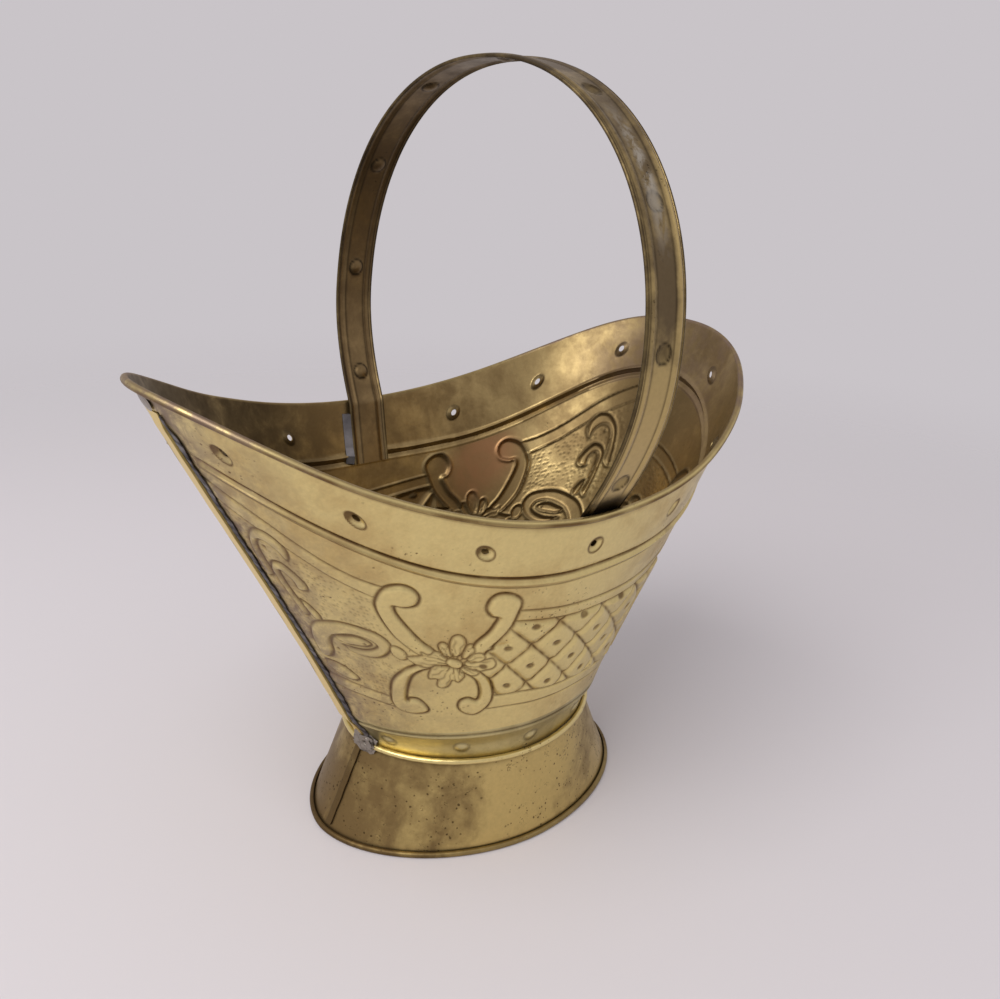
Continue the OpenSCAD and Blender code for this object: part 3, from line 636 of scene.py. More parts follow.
def stamp(die, points, raised=0.0, cut=LINE_CUT, width=LINE_W, shoulder=1.3, closed=True):
    """Presses one outline into the pattern. Inside it the sheet rises to a plateau over the
    shoulder and older lines are wiped out, and a groove runs along the outline. Gives the places
    that it may have changed and how far each lies on the plateau."""
    curve = curve_through(points, closed)
    low, high = curve.min(0) - STAMP_REACH, curve.max(0) + STAMP_REACH
    near = np.flatnonzero((die.a > low[0]) & (die.a < high[0]) & (die.b > low[1]) & (die.b < high[1]))
    if not near.size:
        return near, np.zeros(0)
    gap, inside = distance(die.a[near], die.b[near], curve, closed)
    held = smooth(gap / shoulder) * inside
    die.height[near] = die.height[near] * (1 - held) + raised * held
    older = die.cut[near] * (1 - smooth(gap / WIPE_W) * inside)
    die.cut[near] = np.maximum(older, cut * np.exp(-(gap / width) ** 2))
    return near, held


def ring_points(a, b, half_a, half_b, count=10):
    """Points of an oval, in equal steps of the angle."""
    turns = np.arange(count) * 2 * np.pi / count
    return np.stack([a + half_a * np.cos(turns), b + half_b * np.sin(turns)], 1)


def dent(die, a, b, radius, depth, dirt=0.0):
    """Round hollow: the square of one less the squared share of the radius."""
    away = np.hypot(die.a - a, die.b - b) / radius
    hollow = np.where(away < 1, (1 - away ** 2) ** 2, 0)
    die.height -= depth * hollow
    die.dirt = np.maximum(die.dirt, dirt * hollow)


def lattice(die):
    """Diamond net of fine grooves with a small oval hollow in every other diamond, from the right
    C-scroll to the end leaf and between both ribbons. Two sets of slanted lines cross; between two
    lines of a set the sheet swells, and both fade towards the net's edge."""
    s = (die.a - LATTICE_FROM_A) / LATTICE_A
    r = (die.b - LATTICE_FROM_B) / LATTICE_B
    edge = np.array(UPPER_RIBBON_BACK[1]), np.array(LOWER_RIBBON_BACK[0])
    start = np.interp(die.b, *np.array(LATTICE_START).T)
    from_edge = np.minimum.reduce([die.a - start, LATTICE_END - die.a, np.interp(die.a, *edge[0].T) - die.b,
                                   die.b - np.interp(die.a, *edge[1].T)])
    within = from_edge > 0
    for way in (s + r, s - r):
        gap = np.abs((way + 1) % 2 - 1) * LATTICE_A / math.sqrt(2)
        uneven = 1 + 0.3 * np.sin(die.a * 0.9 + way * 5) * np.cos(die.b * 0.7)
        line = LATTICE_CUT * uneven * np.exp(-(gap / LATTICE_LINE_W) ** 2)
        die.cut = np.where(within, np.maximum(die.cut, line), die.cut)
        swell = LATTICE_RISE * smooth(gap / LATTICE_PILLOW) - LATTICE_SINK
        die.height += swell * smooth(from_edge / LATTICE_FADE)
    near_s, near_r = np.round(s), np.round(r)
    odd = (near_s + near_r) % 2 == 1
    away = np.hypot((s - near_s) * LATTICE_A / LATTICE_PIT_A, (r - near_r) * LATTICE_B / LATTICE_PIT_B)
    pit = np.where(within & odd & (away < 1), (1 - away ** 2) ** 1.3, 0)
    die.height -= LATTICE_PIT * pit
    die.dirt = np.maximum(die.dirt, 0.8 * smooth(1.5 * pit))


def stipple(die, seed=5):
    """Ground of fine punch marks round the leaf scrolls: one mark at a seeded place in each cell, with
    a seeded size, and none where that size is small."""
    i, j = np.floor(die.a / PUNCH_CELL).astype(int), np.floor(die.b / PUNCH_CELL).astype(int)
    random = np.random.default_rng(seed).uniform(0, 1, (3, PUNCH_PLACES, PUNCH_PLACES))
    aside, above, size = random[:, i % PUNCH_PLACES, (j + 17 * (i // 3)) % PUNCH_PLACES]
    away_a = die.a / PUNCH_CELL - i - 0.2 - 0.6 * aside
    away_b = die.b / PUNCH_CELL - j - 0.2 - 0.6 * above
    away = np.hypot(away_a, away_b) * PUNCH_CELL
    away = away / (PUNCH_R + PUNCH_R_MORE * size)
    return np.where(away < 1, (1 - away ** 2), 0) * (size > PUNCH_NONE)


def ribbon_between(die, upper, lower):
    """Raises the strip between two lines, by a smooth step of the distance to the nearer line."""
    top, low = np.array(upper), np.array(lower)
    gap = np.minimum(np.interp(die.a, *top.T) - die.b, die.b - np.interp(die.a, *low.T))
    within = (die.a > max(top[0, 0], low[0, 0])) & (die.a < min(top[-1, 0], low[-1, 0]))
    die.height += np.where(within, RIBBON * smooth(gap / RIBBON_EDGE), 0)


def die_place(t, v):
    """Place on the flat die: the distance round the bowl and the rise from half its height, both
    shifted. The sheet was stretched in bending, by an amount that dies away from the spout, and a
    little towards the back."""
    arc = arc_of(t) % HALF_GIRTH
    rise = (v - 0.5) * wall_length(turn_of(arc))
    at_spout = SPOUT_STRETCH * np.exp(-arc / SPOUT_STRETCH_ARC) * (1 - rise / SPOUT_STRETCH_RISE)
    a = arc - DIE_SHIFT_A - at_spout - BACK_STRETCH * np.clip(arc - BACK_STRETCH_FROM, 0, None)
    b = rise - DIE_SHIFT_B + DIE_TILT * arc + SPOUT_SPREAD * rise * np.exp(-arc / SPOUT_SPREAD_ARC)
    return SimpleNamespace(a=a.ravel(), b=b.ravel())


def between(die, upper, lower):
    """True where a place lies below the upper line and above the lower one."""
    upper, lower = np.array(upper), np.array(lower)
    return (die.b < np.interp(die.a, *upper.T)) & (die.b > np.interp(die.a, *lower.T))


def rosette_petals(die):
    """Ring of oval petals in equal steps round the rosette's middle."""
    for k in range(ROSETTE_PETALS):
        way = k * math.pi / 3 + 0.3
        a, b = ROSETTE[0] + ROSETTE_OUT[0] * math.cos(way), ROSETTE[1] + ROSETTE_OUT[1] * math.sin(way)
        stamp(die, ring_points(a, b, *ROSETTE_PETAL), PETAL, shoulder=1.4)


def eye_with_veins(die, centre, lean):
    """Oval boss at a flower's middle, with short veins in equal steps round it."""
    for k in range(EYE_VEINS):
        way = k * 2 * math.pi / EYE_VEINS + lean
        vein = [(centre[0] + r * math.cos(way), centre[1] + 0.9 * r * math.sin(way)) for r in EYE_VEIN_AT]
        stamp(die, vein, cut=0.4, width=0.45, closed=False)
    stamp(die, ring_points(*centre, *EYE_HALF), raised=EYE_RISE, cut=0.4, width=FINE_W)


def die_pattern(t, v):
    """Relief of the stamped pattern in mm, the dirt in its grooves and the wear on its raised parts.
    Later shapes are stamped over earlier ones, and the relief is the raised height less the cuts."""
    die = die_place(t, v)
    die.height, die.cut, die.dirt, die.petal = 0 * die.a, 0 * die.a, 0 * die.a, 0 * die.a
    ground = between(die, UPPER_RIBBON[1], LOWER_RIBBON[0]) & (die.a < GROUND_TO)
    ground |= between(die, UPPER_RIBBON_BACK[1], LOWER_RIBBON_BACK[0]) & (die.a > BACK_GROUND_FROM)
    marks = stipple(die) * ground
    for pair in (UPPER_RIBBON, UPPER_RIBBON_BACK, LOWER_RIBBON, LOWER_RIBBON_BACK):
        ribbon_between(die, *pair)
        for line in pair:
            stamp(die, line, cut=FINE_CUT * 1.3, width=FINE_W * 1.1, closed=False)
    lattice(die)
    stamp(die, END_LEAF, raised=1.1, shoulder=2.2)
    for outline in C_SCROLLS:
        stamp(die, outline, SCROLL, shoulder=2.0)
    flipped = SimpleNamespace(a=2 * MIRROR_AT - die.a, b=die.b, height=die.height, cut=die.cut)
    for outline in LEAF_SCROLLS:
        stamp(die, outline, PETAL, LINE_CUT * 0.9, shoulder=1.5)
        stamp(flipped, outline, PETAL, LINE_CUT * 0.9, shoulder=1.5)
    stamp(die, ring_points(*SMALL_RING), raised=0.6, cut=LINE_CUT * 0.8, width=FINE_W)
    for outline in PETALS:
        near, held = stamp(die, outline, PETAL, LINE_CUT * 0.8, LINE_W * 0.75, shoulder=1.6)
        die.petal[near] = np.maximum(die.petal[near], held)
    out_a, out_b = die.a - FLOWER_EYE[0], die.b - FLOWER_EYE[1]
    reach = np.hypot(out_a, out_b)
    veins = np.abs(np.cos(PETAL_VEINS * np.arctan2(out_b, out_a) + 0.4 * np.sin(reach))) ** 8 * die.petal
    veins *= ramp(reach, 5, 8) * ramp(reach, 18, 13)
    die.height -= VEIN_CUT * veins
    die.dirt = np.maximum(die.dirt, VEIN_DIRT * veins)
    eye_with_veins(die, FLOWER_EYE, lean=-0.1)
    rosette_petals(die)
    eye_with_veins(die, ROSETTE, lean=0.2)
    for a, b, radius in LEAF_SPOTS:
        dent(die, a, b, radius, depth=0.5, dirt=0.9)
    plain = np.clip(1 - die.height / 0.3, 0, 1) * (die.cut < 0.1)
    height = die.height - die.cut - PUNCH_DEPTH * marks * plain
    dirt = np.maximum.reduce([die.dirt, 0.95 * smooth(1.8 * die.cut), PUNCH_DIRT * marks * plain])
    dirt = dirt.clip(0, 1)
    worn = (die.height / SCROLL).clip(0, 1)
    return [x.reshape(np.shape(t)) for x in (height, dirt, worn)]


# ---- Ornamented wall ---------------------------------------------------------------------------
# The broad field of the sheet, from the groove over the neck to just below the raised bead, in four
# panels. Each is a thin closed shell that shows the pattern on both faces of the sheet.
PANEL_LOW, PANEL_HIGH = 21.0, 3.0
PANEL_COLUMNS, PANEL_ROWS = 236, 204
BLUSH_ARC, BLUSH_V, BLUSH_HALF = 79, 0.66, (15, 17)
INSIDE_WORN = -0.4


def seam_stain(t, v):
    """Grey-brown stain on the wall where the solder line beside the front seam was run, fading with
    the distance beside it, and painted shade in the same grey-brown over the bowl's back half."""
    beside = -plain_wall(t, v)[..., 1]
    edge = beside + 1.5 * unevenness(plain_wall(t, v), seed=17, wavelength=22, amount=1.0)
    near_seam = ramp(edge, 5, 9) * (0.6 * ramp(edge, 66, 10) + 0.3 * ramp(edge, 22, 12)) * (t < 90)
    # The second term is painted shade over the back half.
    return near_seam + 0.5 * ramp(from_seam(t), 96, 126)


def inner_darkening(t):
    """Darkening of the inner face: heavy in the spout and light behind."""
    return 0.67 * ramp(from_seam(t), 88, 62) + 0.3 * ramp(from_seam(t), 160, 174)


def blush_mark(arc, v):
    """Where the copper-red patch lies: an oval with a soft edge, inside the far cartouche."""
    away = np.hypot((arc - HALF_GIRTH - BLUSH_ARC) / BLUSH_HALF[0], (v - BLUSH_V) * 150 / BLUSH_HALF[1])
    return smooth(1.5 - away)


def add_panel(name, first, last):
    """Panel between two distances round the bowl: columns in equal steps, rows in equal steps
    from the neck band's top to the bead's foot."""
    arc = np.linspace(first, last, PANEL_COLUMNS)[:, None]
    t = turn_of(arc)
    low = PANEL_LOW / wall_length(t)
    high = 1 - (bead_drop(t) + PANEL_HIGH) / wall_length(t)
    v = low + (high - low) * np.linspace(0, 1, PANEL_ROWS)[None]
    t = np.broadcast_to(t, v.shape)
    height, dirt, worn = die_pattern(t, v)
    outer, inner = bowl_faces(t, v, height * np.clip(from_seam(t) / 4, 0, 1))
    add_loops(name, there_and_back(outer, inner), brass_sheet, "brass", "body_sheet",
              inner=there_and_back(0 * v, 0 * v + 1),
              dirt=there_and_back(dirt, np.maximum(dirt * 0.7, inner_darkening(t))),
              worn=there_and_back(worn, INSIDE_WORN * worn),
              blush=there_and_back(0 * v, blush_mark(arc_of(t), v)),
              stain=there_and_back(seam_stain(t, v), 0 * v))


for k, name in enumerate(("bowl_panel_spout_near", "bowl_panel_back_near", "bowl_panel_back_far",
                          "bowl_panel_spout_far")):
    add_panel(name, k * HALF_GIRTH / 2, (k + 1) * HALF_GIRTH / 2)


# ---- Rim band ----------------------------------------------------------------------------------
# The plain band above the bead, pierced with a row of small holes, each in a punched hollow. Its
# edge is rolled outwards over the rim wire. Painted shade and a painted highlight fall on opposite
# sides of each hollow and of the roll.
HOLE_R, HOLE_FIRST, HOLE_PITCH, HOLE_COUNT, HOLE_SHARE = 1.5, 31, 48, 7, 0.515
CUP_R, CUP_DEPTH = 3.75, 1.45
CURL_R, CURL_END, CURL_STEP = 0.8, -108, 18
RIM_COLUMNS, RIM_ROWS = 741, 44
ROWS_CLOSE = [(0, 1), (14, 0.776), (18, 0.607), (37, 0.317), (43, 0)]
UNDER_BEAD, BAND_CUT, SHADING_TILT_A, SHADING_TILT_B = 1.2, 0.35, 0.55, 0.83


def along_noise(s, seed, wavelength, amount):
    """Uneven line: cosines of seeded lengths and phases along s, added up."""
    random = np.random.default_rng(seed)
    lengths, phases = wavelength * random.uniform(0.5, 1.8, 6), random.uniform(0, 6.28, 6)
    return amount * sum(np.cos(2 * np.pi * s / w + p) for w, p in zip(lengths, phases)) / 3


def hole_drop(t):
    """Drop of the row of holes below the rim, along the wall: halfway down to the bead."""
    return HOLE_SHARE * bead_drop(t)


def hole_line():
    """Distance from the front seam along the row of holes, at each turn of half the bowl: the sum of
    the short steps between neighbouring places."""
    v = 1 - hole_drop(half_turns) / wall_length(half_turns)
    level, _, _ = wall_frame(half_turns, v)
    line = plain_wall(half_turns, v) + bands(half_turns, v)[..., None] * level
    return np.concatenate([[0], np.linalg.norm(np.diff(line, axis=0), axis=1).cumsum()])


def hole_centre(around):
    """Place of the nearest hole along the row: the first one's plus whole steps."""
    return HOLE_FIRST + HOLE_PITCH * np.round((around - HOLE_FIRST) / HOLE_PITCH).clip(0, HOLE_COUNT - 1)


def hole_cells(around, off_row):
    """Grid cells whose middle lies in a hole, and the grid's corners that touch both a cell in a hole
    and one outside it."""
    mid_a, mid_d = (around[:-1, :-1] + around[1:, :-1]) / 2, (off_row[:, :-1] + off_row[:, 1:])[:-1] / 2
    cut = np.hypot(mid_a - hole_centre(mid_a), mid_d) < HOLE_R
    touched, whole = np.zeros(around.shape, bool), np.ones(around.shape, bool)
    for down, right in ((0, 0), (0, 1), (1, 0), (1, 1)):
        cell = np.zeros(around.shape, bool)
        cell[down:down - 1 or None, right:right - 1 or None] = cut
        touched |= cell
        whole &= cell
    return cut, touched & ~whole


def hole_walls(cut, rows):
    """Quads between the outer and the inner face round every hole: one for each side of a cut cell
    whose neighbour isn't cut."""
    walls = []
    for (dc, dj), first, second in (((0, -1), (0, 0), (1, 0)), ((1, 0), (1, 0), (1, 1)),
                                    ((0, 1), (1, 1), (0, 1)), ((-1, 0), (0, 1), (0, 0))):
        c, j = np.nonzero(cut & ~np.roll(cut, (-dc, -dj), (0, 1)))
        (c0, j0), (c1, j1) = (c + first[0], j + first[1]), (c + second[0], j + second[1])
        outer_0, outer_1 = c0 * rows + j0, c1 * rows + j1
        inner_0, inner_1 = c0 * rows + rows - 1 - j0, c1 * rows + rows - 1 - j1
        walls.append(np.stack([outer_0, outer_1, inner_1, inner_0], -1))
    return np.concatenate(walls)


def add_rim_half(name, far):
    """Half a ring of closed loops: up the outer face, round the inside of the curl, back round its
    outside and down the inner face. Cells within a hole's radius are left out and their edges are
    moved onto the circle."""
    run = hole_line()
    around = np.linspace(0, run[-1], RIM_COLUMNS)[:, None] * np.ones(RIM_ROWS)
    turn = np.interp(around, run, half_turns)
    share = np.interp(np.arange(RIM_ROWS), *np.array(ROWS_CLOSE).T)
    off_row = (bead_drop(turn) + PANEL_HIGH) * share - hole_drop(turn)
    cut, edge = hole_cells(around, off_row)
    centre = hole_centre(around)
    away = np.hypot(around - centre, off_row).clip(0.01)
    scale = np.where(edge, HOLE_R / away, 1)
    around, off_row = centre + (around - centre) * scale, off_row * scale
    away = np.hypot(around - centre, off_row)
    turn = np.interp(around, run, half_turns)
    drop = hole_drop(turn) + off_row
    below = drop - bead_drop(turn)
    t = 360 - turn if far else turn
    v = 1 - drop / wall_length(t)
    seam_fade = ramp(from_seam(t), FADE_FROM, FADE_TO)
    groove = bump(below + (BEAD_W + BEAD_GROOVE_W) / 2, BEAD_GROOVE_W)
    under = bump(below - BEAD_W * 0.62, UNDER_BEAD)
    relief = -CUP_DEPTH * (1 - (away / CUP_R) ** 2).clip(0) - BAND_CUT * seam_fade * (groove + 0.6 * under)
    # Painted shade on one side of each hollow and a painted highlight on the other, set by this slant
    # across it. The dark ring at the hollow's edge and the dark round the hole are dirt.
    shading_axis = ((around - centre) * SHADING_TILT_A + off_row * SHADING_TILT_B) / CUP_R
    ring = np.maximum.reduce([0.95 * bump(away - CUP_R * 0.98, 1.4),
                              0.85 * smooth(0.5 - 1.4 * shading_axis) * (away < CUP_R), 0.6 * smooth(2.3 - away)])
    front_bead = 0.7 * ramp(from_seam(t), 75, 30) * bump(below, BEAD_W)
    lines = np.maximum.reduce([0.95 * smooth(1.6 * groove), 0.75 * under, front_bead])
    # Its last term is painted shade on the band just under the rolled edge.
    dirt = np.maximum.reduce([ring, seam_fade * lines, 0.9 * smooth(1.7 - drop / 2.4)])
    outer, inner = bowl_faces(t, v, relief)
    _, normal, up = wall_frame(t[:, -1], 0 * t[:, -1] + 1)
    tip = outer[:, -1]

    def curl(radius, degrees):
        """Points on a circle round the wire's middle line, at those angles from the wall's normal."""
        angle = np.radians(degrees)[None, :, None]
        return tip[:, None] + CURL_R * normal[:, None] + radius * (
            np.cos(angle) * normal[:, None] + np.sin(angle) * up[:, None])

    turned_in = curl(CURL_R, np.arange(180 - CURL_STEP, CURL_END - 1, -CURL_STEP))
    bend = np.arange(CURL_END, 180, CURL_STEP)
    turned_out = curl(CURL_R + SHEET_T, bend)
    loops = np.concatenate([outer, turned_in, turned_out, inner[:, ::-1]], 1)
    columns, rows = loops.shape[:2]
    patches = along_noise(around[:, :1], seed=41 + far, wavelength=31, amount=0.9)
    blotch = 0.3 * smooth(0.5 + patches) * bump(bend[None] - 10, 150)
    # Painted highlight along the roll's top and painted shade on its underside, over blotches of dirt.
    roll_highlight = 0.5 * bump(bend[None] - 58, 80)
    roll_dirt = np.maximum(0.62 + blotch - roll_highlight, 0.95 * ramp(bend[None], 5, -35)).clip(0, 1)
    turned = from_seam(t[:, :1])
    # Grey-brown on the roll: a stain near the spout's tip, and painted shade towards the back. The inner
    # face gets painted shade near the back.
    roll_stain = np.maximum(0.9 * ramp(turned, 62, 22), 0.9 * ramp(turned, 118, 143))
    inner_stain = 0.4 * ramp(from_seam(t), 140, 165)

    def mark(first, inside, outside, last):
        """Values of a mark on the outer face, the inside and outside of the curl and the inner face."""
        bent = 0 * turned_in[..., 0] + inside, 0 * turned_out[..., 0] + outside
        return np.concatenate([first, *bent, last[:, ::-1]], 1)

    # Wear along the bead, and a painted highlight on the side of each hollow away from its painted shade.
    worn = 0.35 * seam_fade * bump(below, BEAD_W) + 0.8 * smooth(1.6 * shading_axis - 0.2) * (away < CUP_R)
    marks = dict(inner=mark(0 * v, 0, 0.6 * ramp(bend, 120, 160), 0 * v + 1),
                 dirt=mark(dirt, 0, roll_dirt, np.maximum(0.75 * ring, inner_darkening(t))),
                 # The roll's wear mark is a painted highlight along its top.
                 worn=mark(worn, 0, 0.5 * bump(bend - 62, 80), -0.3 * worn),
                 blush=mark(0 * v, 0, 0, 0 * v), stain=mark(seam_stain(t, v), 0, roll_stain, inner_stain))
    keep = np.ones((columns - 1, rows), bool)
    keep[:, :RIM_ROWS - 1] &= ~cut
    keep[:, rows - RIM_ROWS:rows - 1] &= ~cut[:, ::-1]
    faces = closed_loops(columns, rows, False)[keep]
    faces = np.concatenate([faces, hole_walls(cut, rows), end_faces(columns, rows)])
    add_piece(name, loops, faces, brass_sheet, ["body_sheet"], marks)


add_rim_half("bowl_rim_near", False)
add_rim_half("bowl_rim_far", True)


# ---- Neck band ---------------------------------------------------------------------------------
# The hollow band at the foot of the brass sheet, where it is drawn in to the neck, with a pressed
# groove above it and a row of small round bosses.
BOSS_RISE, BOSS_FIRST, BOSS_PITCH, BOSS_R, BOSS_H = 9.0, 21.6, 31.4, 3.2, 0.9
NECK_GROOVE_RISE, NECK_GROOVE_W, NECK_GROOVE = 18.6, 2.2, 0.45
NECK_COLUMNS, NECK_ROWS = 460, 26
neck_brass = metal_material("neck_brass", dict(Bright=srgb(204, 190, 138), Dull=srgb(166, 150, 104),
                                               Dark=srgb(70, 54, 32), Dullness=0.02, Pits=0.08))


def add_neck_band():
    """Ring of loops, up the outer face and down the inner one. The bosses stand in equal steps along
    the neck's outline."""
    t = turn_of(np.linspace(0, 2 * HALF_GIRTH, NECK_COLUMNS, endpoint=False))[:, None]
    rise = PANEL_LOW * np.linspace(0, 1, NECK_ROWS)[None]
    v = rise / wall_length(t)
    t = np.broadcast_to(t, v.shape)
    rise = np.broadcast_to(rise, v.shape)
    neck = oval(half_turns, **NECK)
    run = np.concatenate([[0], np.linalg.norm(np.diff(neck, axis=0), axis=1).cumsum()])
    along = np.interp(np.minimum(t, 360 - t), half_turns, run)
    away = np.hypot((along - BOSS_FIRST + BOSS_PITCH / 2) % BOSS_PITCH - BOSS_PITCH / 2, rise - BOSS_RISE)
    boss = np.where(away < BOSS_R, (1 - (away / BOSS_R) ** 2) ** 1.5, 0)
    groove = bump(rise - NECK_GROOVE_RISE, NECK_GROOVE_W)
    relief = BOSS_H * boss - NECK_GROOVE * groove
    round_boss, at_bead = 0.55 * bump(away - BOSS_R, 2), 0.8 * smooth(1 - rise / 2.5)
    dirt = np.maximum(0.75 * groove, round_boss + at_bead).clip(0, 1)
    outer, inner = bowl_faces(t, v, relief)
    add_loops("bowl_neck_band", there_and_back(outer, inner), neck_brass, "brass", "body_sheet", ring=True,
              dirt=there_and_back(dirt, 0 * dirt + 0.6), worn=there_and_back(0.8 * boss, 0 * boss))


add_neck_band()


# ---- Rim wire and hem wire ---------------------------------------------------------------------
# Iron wire that the brass is rolled over, to stiffen the rim and the foot's hem. Both wires hardly
# show, so their plain solids stay and get a dull iron finish.
dull_iron = metal_material("dull_iron", dict(Bright=srgb(120, 112, 104), Dull=srgb(92, 78, 66),
                                             Dark=srgb(48, 38, 30), Dullness=0.1, Pits=0.1))


def dress_solid(node, material):
    """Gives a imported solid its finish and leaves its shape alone."""
    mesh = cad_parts[node].data
    mesh.materials.clear()
    mesh.materials.append(material)


for node_name in ("rim_wire", "foot_hem_wire"):
    dress_solid(node_name, dull_iron)


# ---- Front seam --------------------------------------------------------------------------------
# Both ends of the sheet are folded over each other down the front. The fold is bright, uneven and
# thinner at its top end. A line of grey solder was run down beside it, and a tinned patch covers the
# fold's end under the spout's tip.
SEAM_W, SEAM_SHIFT, SEAM_T, SEAM_FROM, SEAM_TO, SEAT = 9, 3.4, 1.1, 3.6, 9.6, 0.1
SEAM_LAP, SEAM_THIN_END, SEAM_SIDES, SEAM_STEPS = 0.25, 7, 44, 260
SOLDER_W, SOLDER_T, SOLDER_THIN_END, SOLDER_SIDES = 3.2, 1.2, 11, 20
seam_brass = metal_material("seam_brass", dict(Bright=srgb(236, 208, 124), Dull=srgb(206, 172, 98),
                                               Dark=srgb(40, 32, 24), Dullness=-0.04, Pits=0.1))
old_solder = metal_material(
    "old_solder",
    dict(Bright=srgb(146, 142, 142), Dull=srgb(90, 86, 88), Dark=srgb(44, 38, 38),
         Dullness=0.06, Pits=0.12),
    metallic=0.7)


def beside_middle(side, v):
    """Turn at which the plain wall lies that far beside the bowl's middle plane, found by halving the
    range that it lies in."""
    low, high = 0 * v, 0 * v + 40
    for _ in range(16):
        middle = (low + high) / 2
        inside = np.abs(plain_wall(middle, v)[..., 1]) < side
        low, high = np.where(inside, middle, low), np.where(inside, high, middle)
    return (low + high) / 2


def up_the_front(side):
    """Places on the wall from just above the neck bead to below the spout's tip, the directions out
    and towards -Y there, and the distance climbed."""
    length = wall_length(0)
    v = SEAM_FROM / length + (1 - (SEAM_FROM + SEAM_TO) / length) * np.linspace(0, 1, SEAM_STEPS)
    t = beside_middle(side, v)
    level, normal, up = wall_frame(t, v)
    base = plain_wall(t, v) + bands(t, v)[..., None] * level
    return base[:, None], normal[:, None], np.cross(up, normal)[:, None], (v * length)[:, None]


def rounded_bar(sides, power):
    """Section between -1 and 1 across and 0 and 1 high: a circle squared up by a power below 1."""
    angle = (np.arange(sides) + 0.5) * 2 * np.pi / sides
    c, s = np.cos(angle), np.sin(angle)
    return (np.sign(c) * np.abs(c) ** power)[None], (1 + np.sign(s) * np.abs(s) ** power)[None] / 2


def add_front_seam():
    """Flat strip with rounded edges, a little narrower at its face than at its foot. Its edges
    wander, its lapped half stands a little higher, and it thins towards its top end."""
    base, normal, side, s = up_the_front(SEAM_SHIFT)
    share, high = rounded_bar(SEAM_SIDES, power=0.42)
    share = np.where(high > 0.9, np.sin(share * 1.4) / math.sin(1.4), share)
    wider = along_noise(s, seed=11, wavelength=34, amount=0.14)
    wander = wider * np.sign(share) + along_noise(s, seed=12, wavelength=60, amount=0.1)
    across = share * (SEAM_W / 2 - 0.3) * (1 - 0.1 * high) + wander
    lap = SEAM_LAP * smooth((0.2 - share) / 0.3) * high
    thin_end = 0.3 + 0.7 * smooth((s[-1] - s) / SEAM_THIN_END)
    waves = along_noise(s, seed=13, wavelength=21, amount=0.05)
    out = SEAT + (SEAM_T * high * (1 + waves) - lap) * thin_end
    broken = along_noise(s, seed=14, wavelength=23, amount=1.5)
    edge = 0.7 * smooth((np.abs(share) - 0.62) / 0.25) * smooth(broken - 0.1)
    lines = np.maximum(0.5 * bump(share - 0.12, 0.3) * high, 0.7 * smooth((share - 0.85) / 0.15))
    dirt = np.maximum(edge * (share < 0), lines)
    add_loops("front_seam", base + across[..., None] * side + out[..., None] * normal, seam_brass, "brass",
              "front_seam_fold", dirt=dirt, worn=0.5, inner=0)


def add_front_solder():
    """Lumpy flat bead of solder beside the fold: a rounded bar times a width that grows downwards and
    wanders, and a height with lumps along and across it."""
    base, normal, side, s = up_the_front(SEAM_SHIFT + (SEAM_W + SOLDER_W) / 2 + SEAT)
    share, high = rounded_bar(SOLDER_SIDES, power=0.8)
    lower = smooth(1 - s / 70)
    narrow = 0.72 + 0.22 * lower + along_noise(s, seed=21, wavelength=13, amount=0.14)
    narrow = narrow + along_noise(s, seed=22, wavelength=5, amount=0.08)
    narrow = narrow * smooth((s[-1] - s) / SOLDER_THIN_END)
    across = -SOLDER_W / 2 + (1 + share) * SOLDER_W / 2 * narrow.clip(0.12, 1)
    lumps = along_noise(s + 3 * share, seed=23, wavelength=9, amount=0.16)
    lumps = lumps + along_noise(s - 4 * share, seed=24, wavelength=4, amount=0.1)
    out = SEAT + SOLDER_T * high * (0.62 + 0.25 * lower + lumps * high).clip(0.2, 1)
    dirt = (0.35 + along_noise(s + share, seed=25, wavelength=7, amount=0.4)).clip(0, 0.9)
    add_loops("front_solder_line", base + across[..., None] * side + out[..., None] * normal, old_solder,
              "solder", "front_seam_solder", dirt=dirt, worn=0, inner=0)


add_front_seam()
add_front_solder()
tinned_brass = metal_material(
    "tinned_brass",
    dict(Bright=srgb(160, 152, 142), Dull=srgb(112, 102, 92), Dark=srgb(66, 56, 48),
         Dullness=0.02, Pits=0.12),
    metallic=0.85)
dress_solid("spout_tip_solder", tinned_brass)


# ---- Floor of the bowl -------------------------------------------------------------------------
# Turned-up plate of sheet brass inside the neck, with a ring of solder run round it. Both lie deep in
# the bowl and are dull and sooty, so their plain solids stay.
sooty_brass = metal_material("sooty_brass", dict(Bright=srgb(150, 124, 80), Dull=srgb(96, 78, 52),
                                                 Dark=srgb(40, 32, 24), Dullness=0.14, Pits=0.14))
dress_solid("floor_plate", sooty_brass)
dress_solid("floor_solder_ring", old_solder)


# ---- Neck bead and foot ------------------------------------------------------------------------
# The flared foot is a second sheet of brass, closed by its own folded seam and rolled over a wire at
# the hem. It is mottled with dark tarnish, and a painted sheen brightens its flanks. A round bead runs
# where it meets the bowl, and the front seam's solder ended there in a lump.
FOOT = dict(front=76, rear=80, half_w=57.5, mid=0, round_f=1.83, round_r=1.98)
FLANGE_W, HEM_CURL_R, FOOT_SEAT = 6, 0.7, 0.1
HEM_STEP, HEM_END = 12, 168
HEM_LIFT = (HEM_CURL_R + SHEET_T) * math.cos(math.radians(18))
FOOT_COLUMNS, FOOT_ROWS = 460, 44
FOOT_WAVES = dict(seed=8, wavelength=30, amount=0.22)
FOOT_SEAM_TURN, FOOT_SEAM_W, FOOT_SEAM_T, FOOT_SEAM_STEPS, FOOT_SEAM_SIDES = 4.0, 3.6, 1.0, 60, 24
